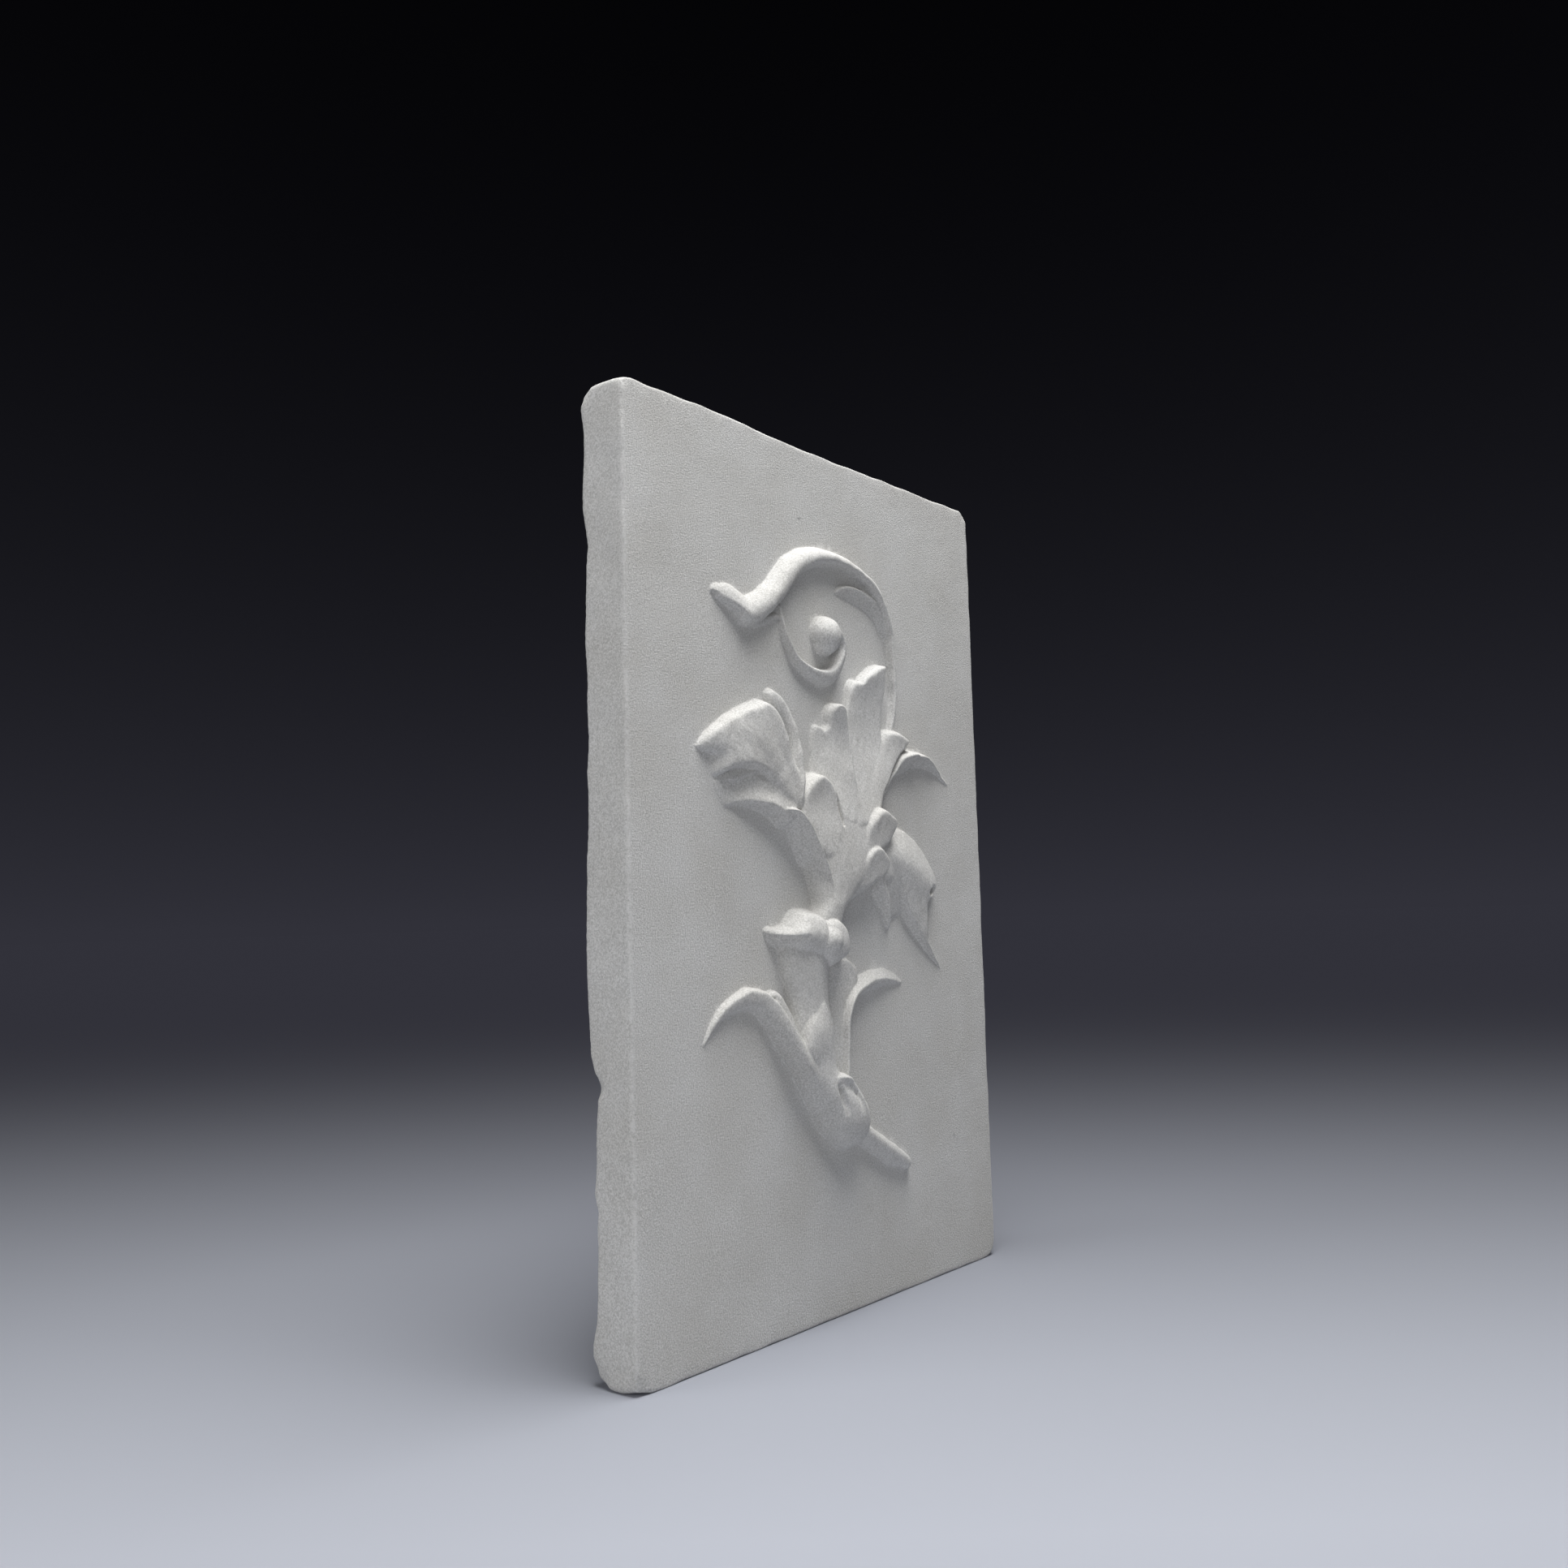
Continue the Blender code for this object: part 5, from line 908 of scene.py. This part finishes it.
def cast_plaster():
    """Dry, unsealed plaster of Paris, cast in a mould and rubbed down.

    Gives the eye: off-white, dead matt, a sand-fine grain of lighter and darker specks,
    faint broad patches, a few pinholes, and paler edges where face and sides meet, partly rubbed and partly
    a painted highlight.
    """
    material = bpy.data.materials.new("cast_plaster")
    material.use_nodes = True
    tree = material.node_tree
    shader = tree.nodes["Principled BSDF"]
    place = node(tree, "ShaderNodeTexCoord").outputs["Object"]

    # Specks of lighter and darker grit.
    grain = node(tree, "ShaderNodeTexNoise", values={"Scale": per_metre(GRIT), "Detail": 3.0,
                                                     "Roughness": 0.65}, links={"Vector": place})
    specks = node(tree, "ShaderNodeValToRGB", links={"Fac": grain.outputs["Fac"]})
    ramp = specks.color_ramp
    ramp.elements[0].position = 0.34
    ramp.elements[0].color = linear("#b8b7b4")
    ramp.elements[1].position = 0.66
    ramp.elements[1].color = linear("#e1e0de")
    body = ramp.elements.new(0.5)
    body.color = linear("#cecdca")

    # Broad patches, a little darker, where the cast dried unevenly.
    patches = node(tree, "ShaderNodeTexNoise", values={"Scale": per_metre(PATCHES), "Detail": 4.0},
                   links={"Vector": place})
    patch_share = node(tree, "ShaderNodeMapRange", values={"From Min": 0.35, "From Max": 0.65,
                                                           "To Min": 0.0, "To Max": 0.5},
                       links={"Value": patches.outputs["Fac"]})
    patched = node(tree, "ShaderNodeMix", {"data_type": "RGBA", "blend_type": "MULTIPLY"},
                   {SECOND: linear("#ebe9e5")},
                   {SHARE: patch_share.outputs["Result"], FIRST: specks.outputs["Color"]})

    # Paler edges where face and sides meet, broken up every few millimetres: partly rubbed, partly a painted
    # highlight where the rounded edge catches the light.
    apart = node(tree, "ShaderNodeSeparateXYZ", links={"Vector": place})
    across = node(tree, "ShaderNodeMath", {"operation": "ABSOLUTE"}, links={0: apart.outputs["X"]})
    at_side = node(tree, "ShaderNodeMapRange", {"interpolation_type": "SMOOTHSTEP"},
                   {"From Min": (WIDTH / 2 - EDGE_BAND) * MM, "From Max": (WIDTH / 2 - PLANE_BAND) * MM},
                   {"Value": across.outputs[0]})
    at_face = node(tree, "ShaderNodeMapRange", {"interpolation_type": "SMOOTHSTEP"},
                   {"From Min": (FACE + EDGE_BAND) * MM, "From Max": (FACE + PLANE_BAND) * MM},
                   {"Value": apart.outputs["Y"]})
    edge_break_noise = node(tree, "ShaderNodeTexNoise", values={"Scale": per_metre(EDGE_BREAKS), "Detail": 2.0},
                links={"Vector": place})
    broken = node(tree, "ShaderNodeMapRange", values={"From Min": 0.35, "From Max": 0.7, "To Max": 0.7},
                  links={"Value": edge_break_noise.outputs["Fac"]})
    at_edge = node(tree, "ShaderNodeMath", {"operation": "MULTIPLY"},
                   links={0: at_side.outputs["Result"], 1: at_face.outputs["Result"]})
    rubbed_and_highlit_edge = node(tree, "ShaderNodeMath", {"operation": "MULTIPLY"},
                  links={0: at_edge.outputs[0], 1: broken.outputs["Result"]})
    # Painted highlight, with rubbing: the front arrises are mixed toward a paler tone.
    colour = node(tree, "ShaderNodeMix", {"data_type": "RGBA"}, {SECOND: linear("#dad9d6")},
                  {SHARE: rubbed_and_highlit_edge.outputs[0], FIRST: patched.outputs[MIXED]})
    tree.links.new(colour.outputs[MIXED], shader.inputs["Base Color"])

    # Pinholes, about 1 mm wide, which dent the surface less than the grit does.
    cells = node(tree, "ShaderNodeTexVoronoi", values={"Scale": per_metre(PINHOLES)},
                 links={"Vector": place})
    pinholes = node(tree, "ShaderNodeMapRange", values={"From Min": 0.0, "From Max": PINHOLE_SIZE},
                    links={"Value": cells.outputs["Distance"]})
    height = node(tree, "ShaderNodeMath", {"operation": "MULTIPLY_ADD"}, {1: 0.4},
                  {0: pinholes.outputs["Result"], 2: grain.outputs["Fac"]})

    # How strongly all this dents the surface: less on the ornament and the sides, which were
    # rubbed smoother than the ground between.
    off_ornament = node(tree, "ShaderNodeMapRange", {"interpolation_type": "SMOOTHSTEP"},
                        {"From Min": (FACE - SMOOTH_BAND) * MM, "From Max": (FACE - PLANE_BAND) * MM,
                         "To Min": 0.3, "To Max": 0.8}, {"Value": apart.outputs["Y"]})
    off_sides = node(tree, "ShaderNodeMapRange", {"interpolation_type": "SMOOTHSTEP"},
                     {"From Min": (FACE + PLANE_BAND) * MM, "From Max": (FACE + SMOOTH_BAND) * MM,
                      "To Min": 1.0, "To Max": 0.5}, {"Value": apart.outputs["Y"]})
    strength = node(tree, "ShaderNodeMath", {"operation": "MULTIPLY"},
                    links={0: off_ornament.outputs["Result"], 1: off_sides.outputs["Result"]})
    bump = node(tree, "ShaderNodeBump", values={"Distance": GRAIN_DEPTH * MM},
                links={"Height": height.outputs[0], "Strength": strength.outputs[0]})
    tree.links.new(bump.outputs["Normal"], shader.inputs["Normal"])
    shader.inputs["Roughness"].default_value = 0.92
    shader.inputs["IOR"].default_value = 1.52
    shader.inputs["Specular IOR Level"].default_value = 0.25
    return material


def fading(tree, amount, length):
    """A share that falls from 1 as the amount grows: e to the power of minus amount over length."""
    turns = node(tree, "ShaderNodeMath", {"operation": "MULTIPLY"}, {1: -1.0 / length}, {0: amount})
    return node(tree, "ShaderNodeMath", {"operation": "EXPONENT", "use_clamp": True},
                links={0: turns.outputs[0]}).outputs[0]


def painted_falloff_sheet():
    """A matt studio sheet, pale and slightly cool under the object, with painted shade: its colour darkens
    to black along the view, standing in for the light falling off behind.

    With a painted glow: farther out the sheet glows in the horizon's tone, though it is no lamp. Gives the
    eye: a pale ground under the object, with no line where it ends.
    """
    material = bpy.data.materials.new("painted_falloff_sheet")
    material.use_nodes = True
    tree = material.node_tree
    shader = tree.nodes["Principled BSDF"]
    place = node(tree, "ShaderNodeTexCoord").outputs["Object"]
    turn = math.radians(VIEW_TURN)
    away = (math.sin(turn), math.cos(turn), 0.0)
    # Painted shade: the sheet's colour falls from its pale tone to black along the view.
    behind = node(tree, "ShaderNodeVectorMath", {"operation": "DOT_PRODUCT"}, {1: away}, {0: place})
    beyond = node(tree, "ShaderNodeMath", {"operation": "ADD"}, {1: FADE_START},
                  {0: behind.outputs["Value"]})
    share = fading(tree, beyond.outputs[0], FADE_LENGTH)
    painted_shade_tone = node(tree, "ShaderNodeMix", {"data_type": "RGBA"},
                {FIRST: linear("#000000"), SECOND: linear(SHEET_TONE)}, {SHARE: share})
    tree.links.new(painted_shade_tone.outputs[MIXED], shader.inputs["Base Color"])
    # Painted glow: where the colour has faded, the sheet glows in the horizon's tone, though it is no lamp.
    far = node(tree, "ShaderNodeMath", {"operation": "SUBTRACT"}, {0: 1.0}, {1: share})
    tree.links.new(far.outputs[0], shader.inputs["Emission Strength"])
    shader.inputs["Emission Color"].default_value = linear(HORIZON_TONE)
    shader.inputs["Roughness"].default_value = 0.8
    shader.inputs["Specular IOR Level"].default_value = 0.2
    return material


def floor():
    """A square floor at the height of the slab's underside."""
    corners = np.array([(-1, -1, 0), (1, -1, 0), (1, 1, 0), (-1, 1, 0)]) * FLOOR_HALF
    made = bpy.data.objects.new("floor", mesh_of("floor", corners, np.array([[0, 1, 2, 3]]),
                                                 np.zeros((0, 3))))
    made.data.materials.append(painted_falloff_sheet())
    bpy.context.scene.collection.objects.link(made)
    return made


def softbox(name, place, aim, size, watts):
    """A square area light at a place, turned to face an aim."""
    light = bpy.data.lights.new(name, "AREA")
    light.size = size
    light.energy = watts
    made = bpy.data.objects.new(name, light)
    made.location = place
    made.rotation_euler = (Vector(aim) - Vector(place)).to_track_quat("-Z", "Y").to_euler()
    bpy.context.scene.collection.objects.link(made)


def camera():
    """The photograph's view: from the left, below the slab's middle and looking up a little."""
    turn, rise, roll = (math.radians(angle) for angle in (VIEW_TURN, VIEW_RISE, VIEW_ROLL))
    ahead = Vector((math.sin(turn) * math.cos(rise), math.cos(turn) * math.cos(rise), math.sin(rise)))
    level = Vector((math.cos(turn), -math.sin(turn), 0.0))
    above = level.cross(ahead)
    right = level * math.cos(roll) + above * math.sin(roll)
    over = above * math.cos(roll) - level * math.sin(roll)
    data = bpy.data.cameras.new("camera")
    data.lens = VIEW_LENS
    data.sensor_width = 36.0
    made = bpy.data.objects.new("camera", data)
    made.matrix_world = Matrix((right, over, -ahead)).transposed().to_4x4()
    made.location = VIEW_PLACE
    bpy.context.scene.collection.objects.link(made)
    bpy.context.scene.camera = made


def surroundings():
    """A dark, slightly cool room: palest at the horizon and near black overhead."""
    world = bpy.data.worlds.new("studio")
    world.use_nodes = True
    tree = world.node_tree
    background = tree.nodes["Background"]
    direction = node(tree, "ShaderNodeTexCoord").outputs["Generated"]
    apart = node(tree, "ShaderNodeSeparateXYZ", links={"Vector": direction})
    background.inputs["Color"].default_value = linear(HORIZON_TONE)
    tree.links.new(fading(tree, apart.outputs["Z"], ROOM_FADE), background.inputs["Strength"])
    bpy.context.scene.world = world


camera()
surroundings()
bpy.context.scene.view_settings.view_transform = "Standard"
for light_name, values in LIGHTS.items():
    softbox(light_name, *values)
floor()

slab = casting()
slab.data.materials.clear()
slab.data.materials.append(cast_plaster())
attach(slab, "root")
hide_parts("relief_panel")
